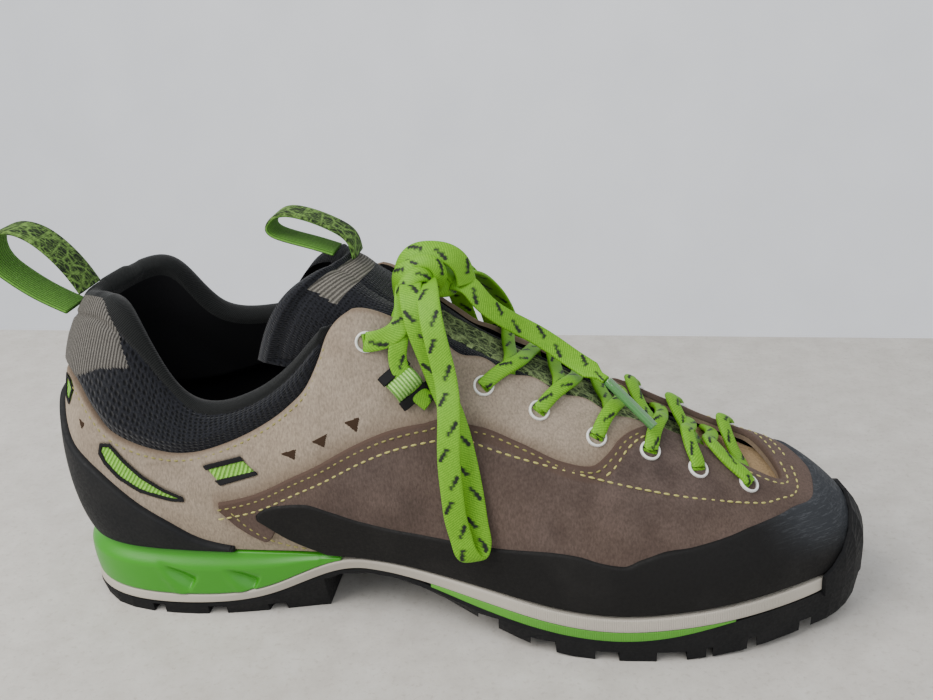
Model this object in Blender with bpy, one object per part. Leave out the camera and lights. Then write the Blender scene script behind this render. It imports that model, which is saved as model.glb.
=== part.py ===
"""Approach shoe for the left foot, as separate solids.

Metres, +X from heel to toe, +Y to the outer side, +Z up, the origin on the heel's tread.
The upper is one surface, skin(u, v), worked out from the last's outline, the opening's edge and the
swell between them. Rand, counter, overlay and collar are bands cut from the same surface.
"""

from math import cos, pi, radians, sin

import bmesh
import bpy
import numpy as np
from mathutils import Matrix, Vector

MM = 0.001

# Driving sizes
LAST_LENGTH = 286 * MM
LAST_BACK = -26.5 * MM
BALL_WIDTH = 98 * MM
HEEL_STACK = 27 * MM
COLLAR_HEIGHT = 117 * MM
FLARE = 3.5 * MM

# Gaps and walls
GAP = 0.3 * MM
PLY_GAP = 0.45 * MM
WALL = 2.2 * MM
OVERLAY_THICKNESS = 1.1 * MM
RAND_THICKNESS = 2.0 * MM
COUNTER_THICKNESS = 1.8 * MM
COLLAR_PAD = 6.0 * MM
COLLAR_SWELL = 1.2 * MM
INSOLE_THICKNESS = 4.0 * MM
INSOLE_CLEARANCE = 0.8 * MM

# Outsole
HEEL_LUG = 3.7 * MM
FORE_LUG = 4.2 * MM
CENTRE_GROOVE = 7.0 * MM
CENTRE_DEPTH = 0.9
CENTRE_TURN = 1.5
GROOVE_EDGE = 0.4
SHANK_RUBBER = 2.6 * MM
EDGE_RUBBER = 1.8 * MM
BUMPER_THICKNESS = 2.0 * MM
BUMPER_ROOT = 2.5 * MM
BUMPER_TAPER = 0.35
BUMPER_START = 11.05
WEDGE_BELLY = 0.4
SCOOP_DEPTH = 1.6 * MM
SCOOP_WIDTH = 4.0 * MM
SCOOP_YAW = 5
CUTTER_HEIGHT = 20 * MM

# Tongue, eyelets, loops and lace
TONGUE_THICKNESS = 3.0 * MM
TONGUE_PAD = 6.0 * MM
TONGUE_PAD_ROWS = 5
TONGUE_CLEARANCE = 1.5 * MM
TONGUE_TUCK = 11.45
TONGUE_TUCK_V = 0.90
EYELET_RADIUS = 4.2 * MM
EYELET_HOLE = 2.9 * MM
EYELET_HEIGHT = 1.0 * MM
EYELET_SIDES = 10
LACE_WIDTH = 7.5 * MM
LACE_THICKNESS = 1.6 * MM
LACE_TUBE = 4.4 * MM
LACE_SIDES = 6
AGLET_WIDTH = 3.4 * MM
KNOT_SIZE = (22 * MM, 22 * MM, 14 * MM)
KNOT_TILT = 25
CROSSING_SLANT = 0.42
LACE_LIFT = 1.2 * MM
LACE_ARCH = 3.0 * MM
TOP_STRAND_STATIONS = (0.28, 0.44)
TONGUE_COLUMNS = 15
LACE_SLOPE = (1, 0, -0.5)
HEEL_WEBBING_WIDTH = 17 * MM
TONGUE_WEBBING_WIDTH = 14 * MM
WEBBING_THICKNESS = 1.4 * MM
KEEPER_WIDTH = 10.5 * MM
KEEPER_LENGTH = 11.5 * MM
KEEPER_RISE = 3.4 * MM
KEEPER_LIFT = 0.5 * MM
KEEPER_TURN = -30

# Stations run from 0 at the back of the heel to 12 at the tip of the toe, down both sides.
STATIONS = 12
COLUMN_STEPS = ((0, 1, 4), (1, 11, 30), (11, 12, 5))
EAR = 6.0
UNDER_BAND_END = 5.0
COLLAR_END = 5.5
VAMP_START = 3.5
RAND_START = 3.98
COUNTER_END = 3.6
VAMP_SEAM = 0.012
COLLAR_SEAM = 0.006

# Plan outline of the last at the sole, inner side negative.
# station, x / LAST_LENGTH, inner y / BALL_WIDTH, outer y / BALL_WIDTH
FEATHER = (
    (0.0, 0.000, 0.000, 0.000),
    (1.0, 0.019, -0.194, 0.199),
    (2.0, 0.075, -0.306, 0.311),
    (3.0, 0.163, -0.332, 0.342),
    (4.0, 0.264, -0.327, 0.367),
    (5.0, 0.362, -0.327, 0.408),
    (6.0, 0.460, -0.367, 0.454),
    (7.0, 0.558, -0.434, 0.495),
    (8.0, 0.656, -0.485, 0.510),
    (9.0, 0.753, -0.485, 0.480),
    (10.0, 0.851, -0.423, 0.393),
    (11.0, 0.942, -0.281, 0.235),
    (11.6, 0.983, -0.168, 0.107),
    (12.0, 1.000, -0.041, -0.041),
)

# Edge of the opening: the collar's rim back to the ears at station 6, then the throat.
# station, inner x, y, z, outer x, y, z, as shares of length, ball width and collar height
EDGE = (
    (0.0, 0.033, 0.000, 1.000, 0.033, 0.000, 1.000),
    (1.0, 0.089, -0.158, 1.021, 0.079, 0.173, 1.051),
    (2.0, 0.135, -0.204, 0.880, 0.128, 0.224, 1.017),
    (3.0, 0.180, -0.224, 0.722, 0.170, 0.260, 0.880),
    (4.0, 0.250, -0.235, 0.735, 0.243, 0.286, 0.863),
    (5.0, 0.323, -0.250, 0.863, 0.323, 0.291, 0.923),
    (6.0, 0.397, -0.276, 1.021, 0.397, 0.276, 1.017),
    (7.0, 0.481, -0.209, 0.929, 0.481, 0.219, 0.906),
    (8.0, 0.572, -0.173, 0.817, 0.572, 0.189, 0.795),
    (9.0, 0.663, -0.153, 0.714, 0.656, 0.173, 0.701),
    (10.0, 0.758, -0.148, 0.607, 0.740, 0.163, 0.598),
    (11.0, 0.862, -0.141, 0.478, 0.851, 0.148, 0.487),
    (11.6, 0.904, -0.102, 0.427, 0.879, 0.102, 0.470),
    (12.0, 0.895, 0.000, 0.453, 0.895, 0.000, 0.453),
)

# Swell of the side between sole and edge, all / COLLAR_HEIGHT.
# station, low out, low up, high out, high down
SWELL = (
    (0.0, 0.128, 0.239, 0.158, 0.214),
    (1.0, 0.103, 0.214, 0.128, 0.205),
    (2.0, 0.051, 0.188, 0.094, 0.188),
    (3.0, 0.043, 0.171, 0.111, 0.150),
    (4.0, 0.047, 0.188, 0.115, 0.162),
    (5.0, 0.051, 0.214, 0.120, 0.205),
    (6.0, 0.043, 0.239, 0.094, 0.256),
    (7.0, 0.026, 0.256, 0.145, 0.214),
    (8.0, 0.021, 0.239, 0.154, 0.128),
    (9.0, 0.021, 0.214, 0.162, 0.111),
    (10.0, 0.021, 0.188, 0.145, 0.077),
    (11.0, 0.017, 0.145, 0.111, 0.051),
    (11.6, 0.017, 0.145, 0.120, 0.030),
    (12.0, 0.017, 0.154, 0.120, 0.026),
)

# Layers under the last, down from the feather line, all but the first column / HEEL_STACK.
# x / LAST_LENGTH, feather line, wedge, strip, forefoot layer
SOLE = (
    (0.00, 1.00, 0.66, 0.130, 0.00),
    (0.08, 1.00, 0.67, 0.130, 0.00),
    (0.18, 0.99, 0.65, 0.130, 0.00),
    (0.26, 0.98, 0.50, 0.140, 0.00),
    (0.31, 0.98, 0.27, 0.165, 0.00),
    (0.37, 0.98, 0.03, 0.180, 0.00),
    (0.43, 0.97, 0.00, 0.180, 0.00),
    (0.50, 0.90, 0.00, 0.180, 0.06),
    (0.56, 0.82, 0.00, 0.180, 0.11),
    (0.61, 0.74, 0.00, 0.180, 0.12),
    (0.66, 0.68, 0.00, 0.180, 0.12),
    (0.71, 0.66, 0.00, 0.180, 0.12),
    (0.77, 0.70, 0.00, 0.180, 0.10),
    (0.84, 0.77, 0.00, 0.180, 0.02),
    (0.90, 0.82, 0.00, 0.180, 0.00),
    (0.95, 0.83, 0.00, 0.170, 0.00),
    (1.00, 0.82, 0.00, 0.150, 0.00),
    (1.05, 0.82, 0.00, 0.150, 0.00),
)

# How far each level of the sole stands out from the last, all / FLARE.
# station, wedge top, strip top, strip bottom, rubber top, tread
FLARES = (
    (0.0, 0.2, 1.0, 1.1, 1.1, 0.9),
    (2.0, 0.2, 1.0, 1.1, 1.1, 1.0),
    (3.0, 0.2, 1.0, 1.0, 1.0, 0.9),
    (4.0, 0.2, 0.8, 0.6, 0.5, -0.3),
    (5.0, 0.3, 0.5, 0.0, -0.2, -1.8),
    (6.0, 0.4, 0.6, 0.3, 0.1, -0.8),
    (7.0, 0.8, 0.8, 0.8, 0.8, 0.2),
    (8.0, 0.9, 0.9, 1.0, 1.0, 0.6),
    (10.0, 0.9, 0.9, 1.0, 1.0, 0.6),
    (11.0, 0.8, 0.8, 0.9, 1.0, 0.7),
    (11.3, 0.5, 0.5, 0.5, 1.3, 0.9),
    (12.0, 0.5, 0.5, 0.5, 1.3, 0.9),
)

# Underside of the outsole.
# x / LAST_LENGTH, height / HEEL_STACK
TREAD = (
    (-0.01, 0.12),
    (0.045, 0.00),
    (0.336, 0.00),
    (0.340, 0.55),
    (0.43, 0.62),
    (0.50, 0.46),
    (0.56, 0.24),
    (0.62, 0.06),
    (0.67, 0.00),
    (0.77, 0.00),
    (0.84, 0.04),
    (0.92, 0.11),
    (1.02, 0.20),
)

# Grooves across the tread, as cut at the inner edge.
# x / LAST_LENGTH, width / HEEL_STACK, turn in degrees
HEEL_GROOVES = ((0.110, 0.18, -4), (0.190, 0.26, -2), (0.264, 0.24, -8))
FORE_GROOVES = (
    (0.549, 0.26, 8), (0.615, 0.32, 8), (0.692, 0.30, 6), (0.771, 0.38, 2), (0.818, 0.08, -3), (0.869, 0.11, -8),
    (0.928, 0.13, -14),
)

# Grooves down the middle of heel and forefoot: first and last x / LAST_LENGTH.
HEEL_CENTRE = (0.130, 0.275)
FORE_CENTRE = (0.620, 0.885)

# Slanted scoops in the wedge's side, one row each.
# station, first x / LAST_LENGTH, z / HEEL_STACK, last x / LAST_LENGTH, z / HEEL_STACK
SCOOPS = ((2.75, 0.120, 0.804, 0.163, 0.507), (3.65, 0.208, 0.752, 0.247, 0.515))

# Panel lines on the skin, as v (0 at the sole, 1 at the opening's edge).
SUEDE_TOP = (
    (0.0, 0.66), (0.5, 0.65), (0.75, 0.63), (1.2, 0.57), (1.64, 0.535),
    (2.1, 0.555), (2.65, 0.615), (3.1, 0.68), (3.6, 0.745), (4.2, 0.795), (4.8, 0.825), (5.2, 0.845),
    (5.45, 0.90), (5.6, 0.96), (6.0, 1.0),
)
COUNTER_TOP = (
    (0.0, 0.56), (0.2, 0.54), (0.4, 0.49), (0.8, 0.41), (1.3, 0.375), (1.6, 0.355), (2.2, 0.29),
    (2.75, 0.205), (3.2, 0.09), (3.6, 0.04), (3.9, 0.025),
)
VAMP_TOP = (
    (3.47, 0.365), (4.0, 0.41), (4.6, 0.477), (5.3, 0.513), (6.0, 0.555), (6.8, 0.645), (7.1, 0.685),
    (7.55, 0.69), (8.0, 0.66), (8.45, 0.627), (8.8, 0.64), (9.1, 0.72), (9.4, 0.84), (9.7, 0.94),
    (9.9, 1.0), (12.0, 1.0),
)
VAMP_BOTTOM = (
    (3.47, 0.325), (3.55, 0.29), (3.73, 0.19), (4.07, 0.073), (4.45, 0.023), (4.8, 0.0),
)
RAND_TOP = (
    (3.98, 0.285), (4.1, 0.325), (4.3, 0.345), (4.7, 0.337), (5.05, 0.28), (5.4, 0.225), (6.0, 0.19),
    (6.6, 0.195), (7.1, 0.21), (7.9, 0.255), (8.2, 0.26), (8.45, 0.247), (8.7, 0.24), (8.95, 0.272),
    (9.2, 0.303), (9.6, 0.33), (10.1, 0.385), (10.8, 0.52), (11.3, 0.68), (11.7, 0.72), (12.0, 0.70),
)
RAND_BOTTOM = (
    (3.98, 0.25), (4.1, 0.205), (4.33, 0.117), (4.76, 0.017), (4.85, 0.0), (12.0, 0.0),
)
BUMPER_TOP = (
    (11.05, 0.02), (11.2, 0.07), (11.4, 0.17), (11.6, 0.29), (11.8, 0.37), (12.0, 0.40),
)

# Places on the skin: station and v.
EYELETS = (
    (6.22, 0.885), (7.72, 0.865), (8.38, 0.830), (9.05, 0.795), (9.66, 0.790), (10.15, 0.750), (10.73, 0.750),
)
KEEPER_SPOT = (6.68, 0.775)

# Free end of the tongue above the ears: bottom of its wing, shoulder of its wing, middle line.
# x / LAST_LENGTH, y / BALL_WIDTH, z / COLLAR_HEIGHT for each
TONGUE_TOP = (
    (0.262, 0.163, 0.815, 0.325, 0.190, 1.070, 0.372, 1.118),
    (0.308, 0.165, 0.790, 0.360, 0.192, 1.040, 0.397, 1.096),
    (0.360, 0.172, 0.790, 0.398, 0.200, 0.985, 0.418, 1.040),
)

# The tongue's sides under the upper.
# station, v of its side edge, rise of its middle / COLLAR_HEIGHT
TONGUE_UNDER = (
    (6.6, 0.83, 0.034), (7.2, 0.81, 0.026), (7.8, 0.81, 0.017), (8.4, 0.81, 0.009), (9.1, 0.81, 0.004),
    (9.8, 0.80, 0.000), (10.5, 0.82, -0.004), (11.1, 0.86, -0.013),
)

# Pull loops, side view: x / LAST_LENGTH and z / COLLAR_HEIGHT.
HEEL_LOOP = (
    (0.030, 1.002), (0.018, 1.055), (-0.004, 1.125), (-0.032, 1.180), (-0.062, 1.196), (-0.086, 1.165),
    (-0.088, 1.110), (-0.066, 1.045), (-0.034, 0.990), (0.006, 0.940),
)
TONGUE_LOOP = (
    (0.387, 1.112), (0.382, 1.160), (0.358, 1.205), (0.322, 1.238), (0.290, 1.232), (0.282, 1.200),
    (0.302, 1.168), (0.334, 1.146), (0.362, 1.124),
)

# Free cord of the lace, chosen by hand, in metres.
KNOT_CENTRE = (0.1085, -0.004, 0.1245)
NEAR_LOOP_ROUTE = (
    (0.1056, -0.0170, 0.1258), (0.1065, -0.0225, 0.1238), (0.1077, -0.0270, 0.1203), (0.1092, -0.0300, 0.1150),
    (0.1115, -0.0312, 0.1082), (0.1140, -0.0316, 0.1010), (0.1169, -0.0335, 0.0938), (0.1204, -0.0364, 0.0866),
    (0.1231, -0.0394, 0.0795), (0.1252, -0.0425, 0.0722), (0.1269, -0.0452, 0.0648), (0.1282, -0.0472, 0.0569),
    (0.1293, -0.0486, 0.0493), (0.1299, -0.0494, 0.0432), (0.1283, -0.0498, 0.0388), (0.1262, -0.0496, 0.0404),
    (0.1243, -0.0493, 0.0458), (0.1226, -0.0490, 0.0533), (0.1218, -0.0486, 0.0614), (0.1211, -0.0476, 0.0698),
    (0.1208, -0.0460, 0.0778), (0.1209, -0.0436, 0.0853), (0.1206, -0.0404, 0.0923), (0.1194, -0.0368, 0.0991),
    (0.1176, -0.0345, 0.1063), (0.1157, -0.0325, 0.1135), (0.1140, -0.0290, 0.1195), (0.1126, -0.0235, 0.1238),
    (0.1112, -0.0172, 0.1246),
)
FAR_LOOP_ROUTE = (
    (0.1096, 0.0100, 0.1238), (0.1104, 0.0150, 0.1230), (0.1116, 0.0210, 0.1186), (0.1136, 0.0280, 0.1090),
    (0.1160, 0.0342, 0.0970), (0.1186, 0.0402, 0.0840), (0.1206, 0.0456, 0.0700), (0.1230, 0.0494, 0.0590),
    (0.1258, 0.0506, 0.0560), (0.1284, 0.0492, 0.0620), (0.1286, 0.0450, 0.0740), (0.1272, 0.0396, 0.0870),
    (0.1248, 0.0350, 0.0990), (0.1218, 0.0292, 0.1090), (0.1186, 0.0220, 0.1170), (0.1164, 0.0160, 0.1208),
    (0.1152, 0.0110, 0.1222),
)
NEAR_END_ROUTE = (
    (0.1217, -0.0068, 0.1219), (0.1242, -0.0082, 0.1210), (0.1273, -0.0092, 0.1177), (0.1313, -0.0090, 0.1133),
    (0.1362, -0.0075, 0.1091), (0.1412, -0.0055, 0.1054), (0.1470, -0.0045, 0.1017), (0.1536, -0.0050, 0.0974),
    (0.1606, -0.0075, 0.0933), (0.1662, -0.0110, 0.0911), (0.1710, -0.0148, 0.0895),
)
AGLET_ROUTE = (
    (0.1715, -0.0152, 0.0893), (0.1798, -0.0208, 0.0831), (0.1871, -0.0250, 0.0771),
)
FAR_END_ROUTE = (
    (0.1225, 0.0075, 0.1205), (0.1235, 0.0110, 0.1195), (0.1250, 0.0165, 0.1165), (0.1290, 0.0235, 0.1090),
    (0.1325, 0.0300, 0.0990), (0.1350, 0.0350, 0.0880), (0.1365, 0.0396, 0.0770), (0.1372, 0.0456, 0.0660),
)


def curve_bends(x, y, closed):
    """Second derivatives of the smooth cubic through the points."""
    n = len(x)
    h = np.diff(x)
    a = np.zeros((n, n))
    b = np.zeros((n,) + y.shape[1:])
    for i in range(1, n - 1):
        a[i, i - 1], a[i, i], a[i, i + 1] = h[i - 1], 2 * (h[i - 1] + h[i]), h[i]
        b[i] = 6 * ((y[i + 1] - y[i]) / h[i] - (y[i] - y[i - 1]) / h[i - 1])
    if closed:
        a[0, 0], a[0, 1], a[0, n - 2] = 2 * (h[0] + h[-1]), h[0], h[-1]
        b[0] = 6 * ((y[1] - y[0]) / h[0] - (y[0] - y[n - 2]) / h[-1])
        a[n - 1, 0], a[n - 1, n - 1] = 1, -1
    else:
        a[0, 0] = a[n - 1, n - 1] = 1
    return np.linalg.solve(a, b)


class Smooth:
    """Smooth curve through table rows. A closed one repeats its first row at the end."""

    def __init__(self, x, y, closed=False):
        self.x = np.asarray(x, float)
        self.y = np.asarray(y, float)
        self.closed = closed
        self.bends = curve_bends(self.x, self.y, closed)

    def __call__(self, t):
        t = np.asarray(t, float)
        if self.closed:
            t = self.x[0] + np.mod(t - self.x[0], self.x[-1] - self.x[0])
        else:
            t = np.clip(t, self.x[0], self.x[-1])
        i = np.clip(np.searchsorted(self.x, t, side="right") - 1, 0, len(self.x) - 2)
        h = self.x[i + 1] - self.x[i]
        a = (self.x[i + 1] - t) / h
        b = (t - self.x[i]) / h
        if self.y.ndim > 1:
            h, a, b = h[..., None], a[..., None], b[..., None]
        bend = (a**3 - a) * self.bends[i] + (b**3 - b) * self.bends[i + 1]
        return a * self.y[i] + b * self.y[i + 1] + bend * h * h / 6


def line_through(table):
    """Panel line without overshoot: straight between rows, rounded off at each row."""
    x = np.array([row[0] for row in table])
    y = np.array([row[1] for row in table])
    slope = np.diff(y) / np.diff(x)
    tangent = np.concatenate([slope[:1], (slope[1:] + slope[:-1]) / 2, slope[-1:]])
    for i in range(1, len(x) - 1):
        if slope[i - 1] * slope[i] <= 0:
            tangent[i] = 0
        else:
            tangent[i] = np.sign(slope[i]) * min(abs(tangent[i]), 3 * abs(slope[i - 1]), 3 * abs(slope[i]))

    def value(s):
        s = np.clip(s, x[0], x[-1])
        i = np.clip(np.searchsorted(x, s, side="right") - 1, 0, len(x) - 2)
        h = x[i + 1] - x[i]
        t = (s - x[i]) / h
        rise = (2 * t**3 - 3 * t**2 + 1) * y[i] + (3 * t**2 - 2 * t**3) * y[i + 1]
        return rise + h * ((t**3 - 2 * t**2 + t) * tangent[i] + (t**3 - t**2) * tangent[i + 1])

    return value


def ring(inner_rows, outer_rows):
    """Closed curve in u: heel 0, inner side, toe 0.5, outer side, back to the heel at 1."""
    rows = [(r[0] / STATIONS / 2, r[1:]) for r in inner_rows]
    rows += [(1 - r[0] / STATIONS / 2, r[1:]) for r in reversed(outer_rows[:-1])]
    return Smooth([r[0] for r in rows], [r[1] for r in rows], closed=True)


def feather_ring():
    inner = [(s, LAST_BACK + x * LAST_LENGTH, i * BALL_WIDTH) for s, x, i, o in FEATHER]
    outer = [(s, LAST_BACK + x * LAST_LENGTH, o * BALL_WIDTH) for s, x, i, o in FEATHER]
    return ring(inner, outer)


def place(x, y, z):
    """A point from its shares of length, ball width and collar height."""
    return (LAST_BACK + x * LAST_LENGTH, y * BALL_WIDTH, z * COLLAR_HEIGHT)


def edge_ring():
    inner = [(row[0],) + place(*row[1:4]) for row in EDGE]
    outer = [(row[0],) + place(*row[4:7]) for row in EDGE]
    return ring(inner, outer)


def swell_ring():
    rows = [(row[0],) + tuple(c * COLLAR_HEIGHT for c in row[1:]) for row in SWELL]
    return ring(rows, rows)


FEATHER_RING = feather_ring()
EDGE_RING = edge_ring()
SWELL_RING = swell_ring()
LAYERS = Smooth([row[0] for row in SOLE], [[c * HEEL_STACK for c in row[1:]] for row in SOLE])
FLARE_CURVES = [line_through([(row[0], row[k] * FLARE) for row in FLARES]) for k in range(1, 6)]
WEDGE_FLARE, STRIP_TOP_FLARE, STRIP_BOTTOM_FLARE, RUBBER_FLARE, TREAD_FLARE = FLARE_CURVES
SMALL = 1e-4
LEVEL_REACH = 0.06


def station(u):
    """Station of a place u round the shoe."""
    return 2 * STATIONS * np.minimum(np.mod(u, 1), 1 - np.mod(u, 1))


def along(x):
    return (np.asarray(x) - LAST_BACK) / LAST_LENGTH


def layers(x):
    return np.maximum(LAYERS(along(x)), 0)


def feather_height(x):
    return layers(x)[..., 0]


def wedge_bottom(x):
    heights = layers(x)
    return heights[..., 0] - heights[..., 1]


def strip_top(x):
    return wedge_bottom(x) - GAP


def strip_bottom(x):
    return strip_top(x) - layers(x)[..., 2]


def rubber_top(x):
    return strip_bottom(x) - GAP - layers(x)[..., 3]


def outline(u, out=0.0):
    """Plan outline of the last at the sole moved outwards, and its outward direction."""
    p = FEATHER_RING(u)
    d = FEATHER_RING(u + SMALL) - FEATHER_RING(u - SMALL)
    n = np.stack([d[..., 1], -d[..., 0]], -1)
    n /= np.linalg.norm(n, axis=-1, keepdims=True)
    return p + n * np.asarray(out)[..., None], n


def skin(u, v):
    """Outside of the upper: u round the shoe, v from the sole (0) to the opening's edge (1)."""
    u, v = np.broadcast_arrays(np.asarray(u, float), np.asarray(v, float))
    p, n = outline(u)
    foot = np.concatenate([p, feather_height(p[..., 0])[..., None]], -1)
    edge = EDGE_RING(u)
    swell = SWELL_RING(u)
    out = np.concatenate([n, np.zeros_like(n[..., :1])], -1)
    up = np.array([0, 0, 1.0])
    low = foot + out * swell[..., 0:1] + up * swell[..., 1:2]
    high = edge + out * swell[..., 2:3] - up * swell[..., 3:4]
    t = np.maximum(v, 0)[..., None]
    below = np.minimum(v, 0)[..., None] * COLLAR_HEIGHT
    curve = foot * (1 - t)**3 + 3 * low * t * (1 - t)**2 + 3 * high * t * t * (1 - t) + edge * t**3
    return curve + up * below


def skin_normal(u, v):
    v = np.clip(v, SMALL, 1 - SMALL)
    du = skin(u + SMALL, v) - skin(u - SMALL, v)
    dv = skin(u, v + SMALL) - skin(u, v - SMALL)
    n = np.cross(du, dv)
    return n / np.linalg.norm(n, axis=-1, keepdims=True)


def skin_off(u, v, off):
    """The skin moved outwards. At the sole it moves level, so that edges stay on the feather line."""
    u, v = np.broadcast_arrays(np.asarray(u, float), np.asarray(v, float))
    n = skin_normal(u, v)
    n[..., 2] *= np.clip(v / LEVEL_REACH, 0, 1)
    n /= np.linalg.norm(n, axis=-1, keepdims=True)
    return skin(u, v) + n * np.asarray(off)[..., None]


def material(name, colour, roughness, metallic=0.0):
    mat = bpy.data.materials.new(name)
    mat.use_nodes = True
    shader = mat.node_tree.nodes["Principled BSDF"]
    shader.inputs["Base Color"].default_value = (*colour, 1)
    shader.inputs["Roughness"].default_value = roughness
    shader.inputs["Metallic"].default_value = metallic
    return mat


def solid(name, verts, faces, mat, smooth_angle=40):
    """A closed mesh object with its faces pointing out."""
    mesh = bpy.data.meshes.new(name)
    mesh.from_pydata([tuple(float(c) for c in v) for v in verts], [], faces)
    bm = bmesh.new()
    bm.from_mesh(mesh)
    bmesh.ops.recalc_face_normals(bm, faces=bm.faces)
    bm.to_mesh(mesh)
    bm.free()
    mesh.materials.append(mat)
    mesh.shade_smooth()
    mesh.set_sharp_from_angle(angle=radians(smooth_angle))
    obj = bpy.data.objects.new(name, mesh)
    bpy.context.scene.collection.objects.link(obj)
    return obj


def strip_faces(first, second, closed):
    """Quads between two rows of vertex numbers."""
    n = len(first)
    count = n if closed else n - 1
    return [(first[i], first[(i + 1) % n], second[(i + 1) % n], second[i]) for i in range(count)]


def shell(name, outside, inside, mat, closed):
    """Closed solid between two grids of points (rows round the shoe, columns up it)."""
    nu, nv = outside.shape[:2]
    verts = np.concatenate([outside.reshape(-1, 3), inside.reshape(-1, 3)])
    out = [[i * nv + j for i in range(nu)] for j in range(nv)]
    inn = [[nu * nv + i * nv + j for i in range(nu)] for j in range(nv)]
    faces = []
    for j in range(nv - 1):
        faces += strip_faces(out[j], out[j + 1], closed)
        faces += [f[::-1] for f in strip_faces(inn[j], inn[j + 1], closed)]
    faces += strip_faces(inn[0], out[0], closed)
    faces += strip_faces(out[-1], inn[-1], closed)
    if not closed:
        for i in (0, nu - 1):
            rail_out = [out[j][i] for j in range(nv)]
            rail_in = [inn[j][i] for j in range(nv)]
            faces += strip_faces(rail_out, rail_in, False)
    return solid(name, verts, faces, mat)


def band(name, us, bottom, top, rows, inner, outer, mat, closed=False):
    """A band of the skin between two panel lines, from offset inner to offset outer."""
    s = station(us)
    share = np.linspace(0, 1, rows)
    low = bottom(s)[:, None]
    high = top(s)[:, None]
    v = low + (high - low) * share[None, :]
    u = np.repeat(us[:, None], rows, 1)
    outside = skin_off(u, v, np.broadcast_to(outer(share), u.shape))
    inside = skin_off(u, v, np.broadcast_to(inner(share), u.shape))
    return shell(name, outside, inside, mat, closed)


def flat(value):
    return lambda share: np.full_like(share, value)


def swollen(base, rise):
    return lambda share: base + rise * np.sin(pi * share)


def level(value):
    return lambda s: 0 * s + value


def slab(name, stations, levels, mat):
    """A layer of the sole. Each level is its flare by station and its height by x, top first."""
    full = stations[0] == 0 and stations[-1] == STATIONS
    heel_only = stations[0] == 0 and not full
    inner = np.array(stations) / STATIONS / 2
    outer = 1 - inner[::-1]
    if full:
        outer = outer[1:-1]
    elif heel_only:
        outer = outer[:-1]
    us = np.concatenate([inner, outer])
    rings = []
    for flare, height in levels:
        p, _ = outline(us, flare(station(us)))
        rings.append(np.concatenate([p, height(p[:, 0])[:, None]], 1))
    n = len(us)
    faces = []
    for k in range(len(levels) - 1):
        first = [k * n + i for i in range(n)]
        faces += strip_faces(first, [i + n for i in first], True)
    count = len(stations)
    for k, turned in ((0, False), (len(levels) - 1, True)):
        left = [k * n + i for i in range(count)]
        right = [k * n + (n - i) % n if stations[0] == 0 else k * n + n - 1 - i for i in range(count)]
        for i in range(count - 1):
            corners = []
            for c in (left[i], left[i + 1], right[i + 1], right[i]):
                if c not in corners:
                    corners.append(c)
            faces.append(tuple(corners[::-1] if turned else corners))
    return solid(name, np.concatenate(rings), faces, mat, 35)


def box_cutter(name, centre, size, turn=0.0, pitch=0.0):
    mesh = bpy.data.meshes.new(name)
    bm = bmesh.new()
    bmesh.ops.create_cube(bm, size=1)
    bmesh.ops.scale(bm, vec=Vector(size), verts=bm.verts)
    bmesh.ops.rotate(bm, matrix=Matrix.Rotation(pitch, 3, "Y"), verts=bm.verts)
    bmesh.ops.rotate(bm, matrix=Matrix.Rotation(turn, 3, "Z"), verts=bm.verts)
    bmesh.ops.translate(bm, vec=Vector(centre), verts=bm.verts)
    bm.to_mesh(mesh)
    bm.free()
    cutter = bpy.data.objects.new(name, mesh)
    bpy.context.scene.collection.objects.link(cutter)
    cutter.hide_render = True
    cutter.display_type = "WIRE"
    return cutter


def combine(obj, other, operation):
    """Boolean with another object, which then only guides."""
    mod = obj.modifiers.new(other.name, "BOOLEAN")
    mod.operation = operation
    mod.object = other
    other.hide_render = True
    other.display_type = "WIRE"


def all_columns():
    """Stations of the shared columns, finer round the heel and the toe."""
    parts = [np.linspace(first, last, count + 1)[:-1] for first, last, count in COLUMN_STEPS]
    return np.concatenate(parts + [[STATIONS]])


def columns(first, last):
    """Stations from first to last, on the shared columns between them."""
    inside = all_columns()
    keep = inside[(inside > first + 0.1) & (inside < last - 0.1)]
    return np.concatenate([[first], keep, [last]])


def ring_places(first):
    """Places u from a station on the inner side round the toe to the same one on the outer side."""
    u = columns(first, STATIONS) / STATIONS / 2
    return np.concatenate([u, 1 - u[-2::-1]])


def heel_places(last):
    """Places u from a station on the outer side round the heel to the same one on the inner side."""
    u = columns(0, last) / STATIONS / 2
    return np.concatenate([-u[:0:-1], u])


def tread_height(x):
    line = np.array(TREAD)
    return np.interp(along(x), line[:, 0], line[:, 1] * HEEL_STACK)


BUMPER_REACH = layers(LAST_BACK + LAST_LENGTH)[2] + BUMPER_ROOT


def outsole_edge(x):
    return rubber_top(x) - EDGE_RUBBER


def outsole_tread(x):
    return np.minimum(tread_height(x), rubber_top(x) - SHANK_RUBBER)


def make_outsole(mat):
    """Rubber with its heel breast, the bumper that climbs the toe, and grooves in the tread."""
    breast = [4.71, 4.76]
    stations = list(columns(0, 4.6)) + breast + list(columns(4.95, STATIONS))
    outsole = slab("outsole", stations, [
        (RUBBER_FLARE, rubber_top),
        (RUBBER_FLARE, outsole_edge),
        (TREAD_FLARE, outsole_tread),
    ], mat)
    inner = RAND_THICKNESS + 2 * PLY_GAP
    bumper = band(
        "toe_bumper_form", ring_places(BUMPER_START), level(-BUMPER_REACH / COLLAR_HEIGHT), line_through(BUMPER_TOP),
        7, flat(inner), lambda t: inner + BUMPER_THICKNESS * (1 - BUMPER_TAPER * t), mat,
    )
    combine(outsole, bumper, "UNION")
    cut_grooves(outsole)


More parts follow.
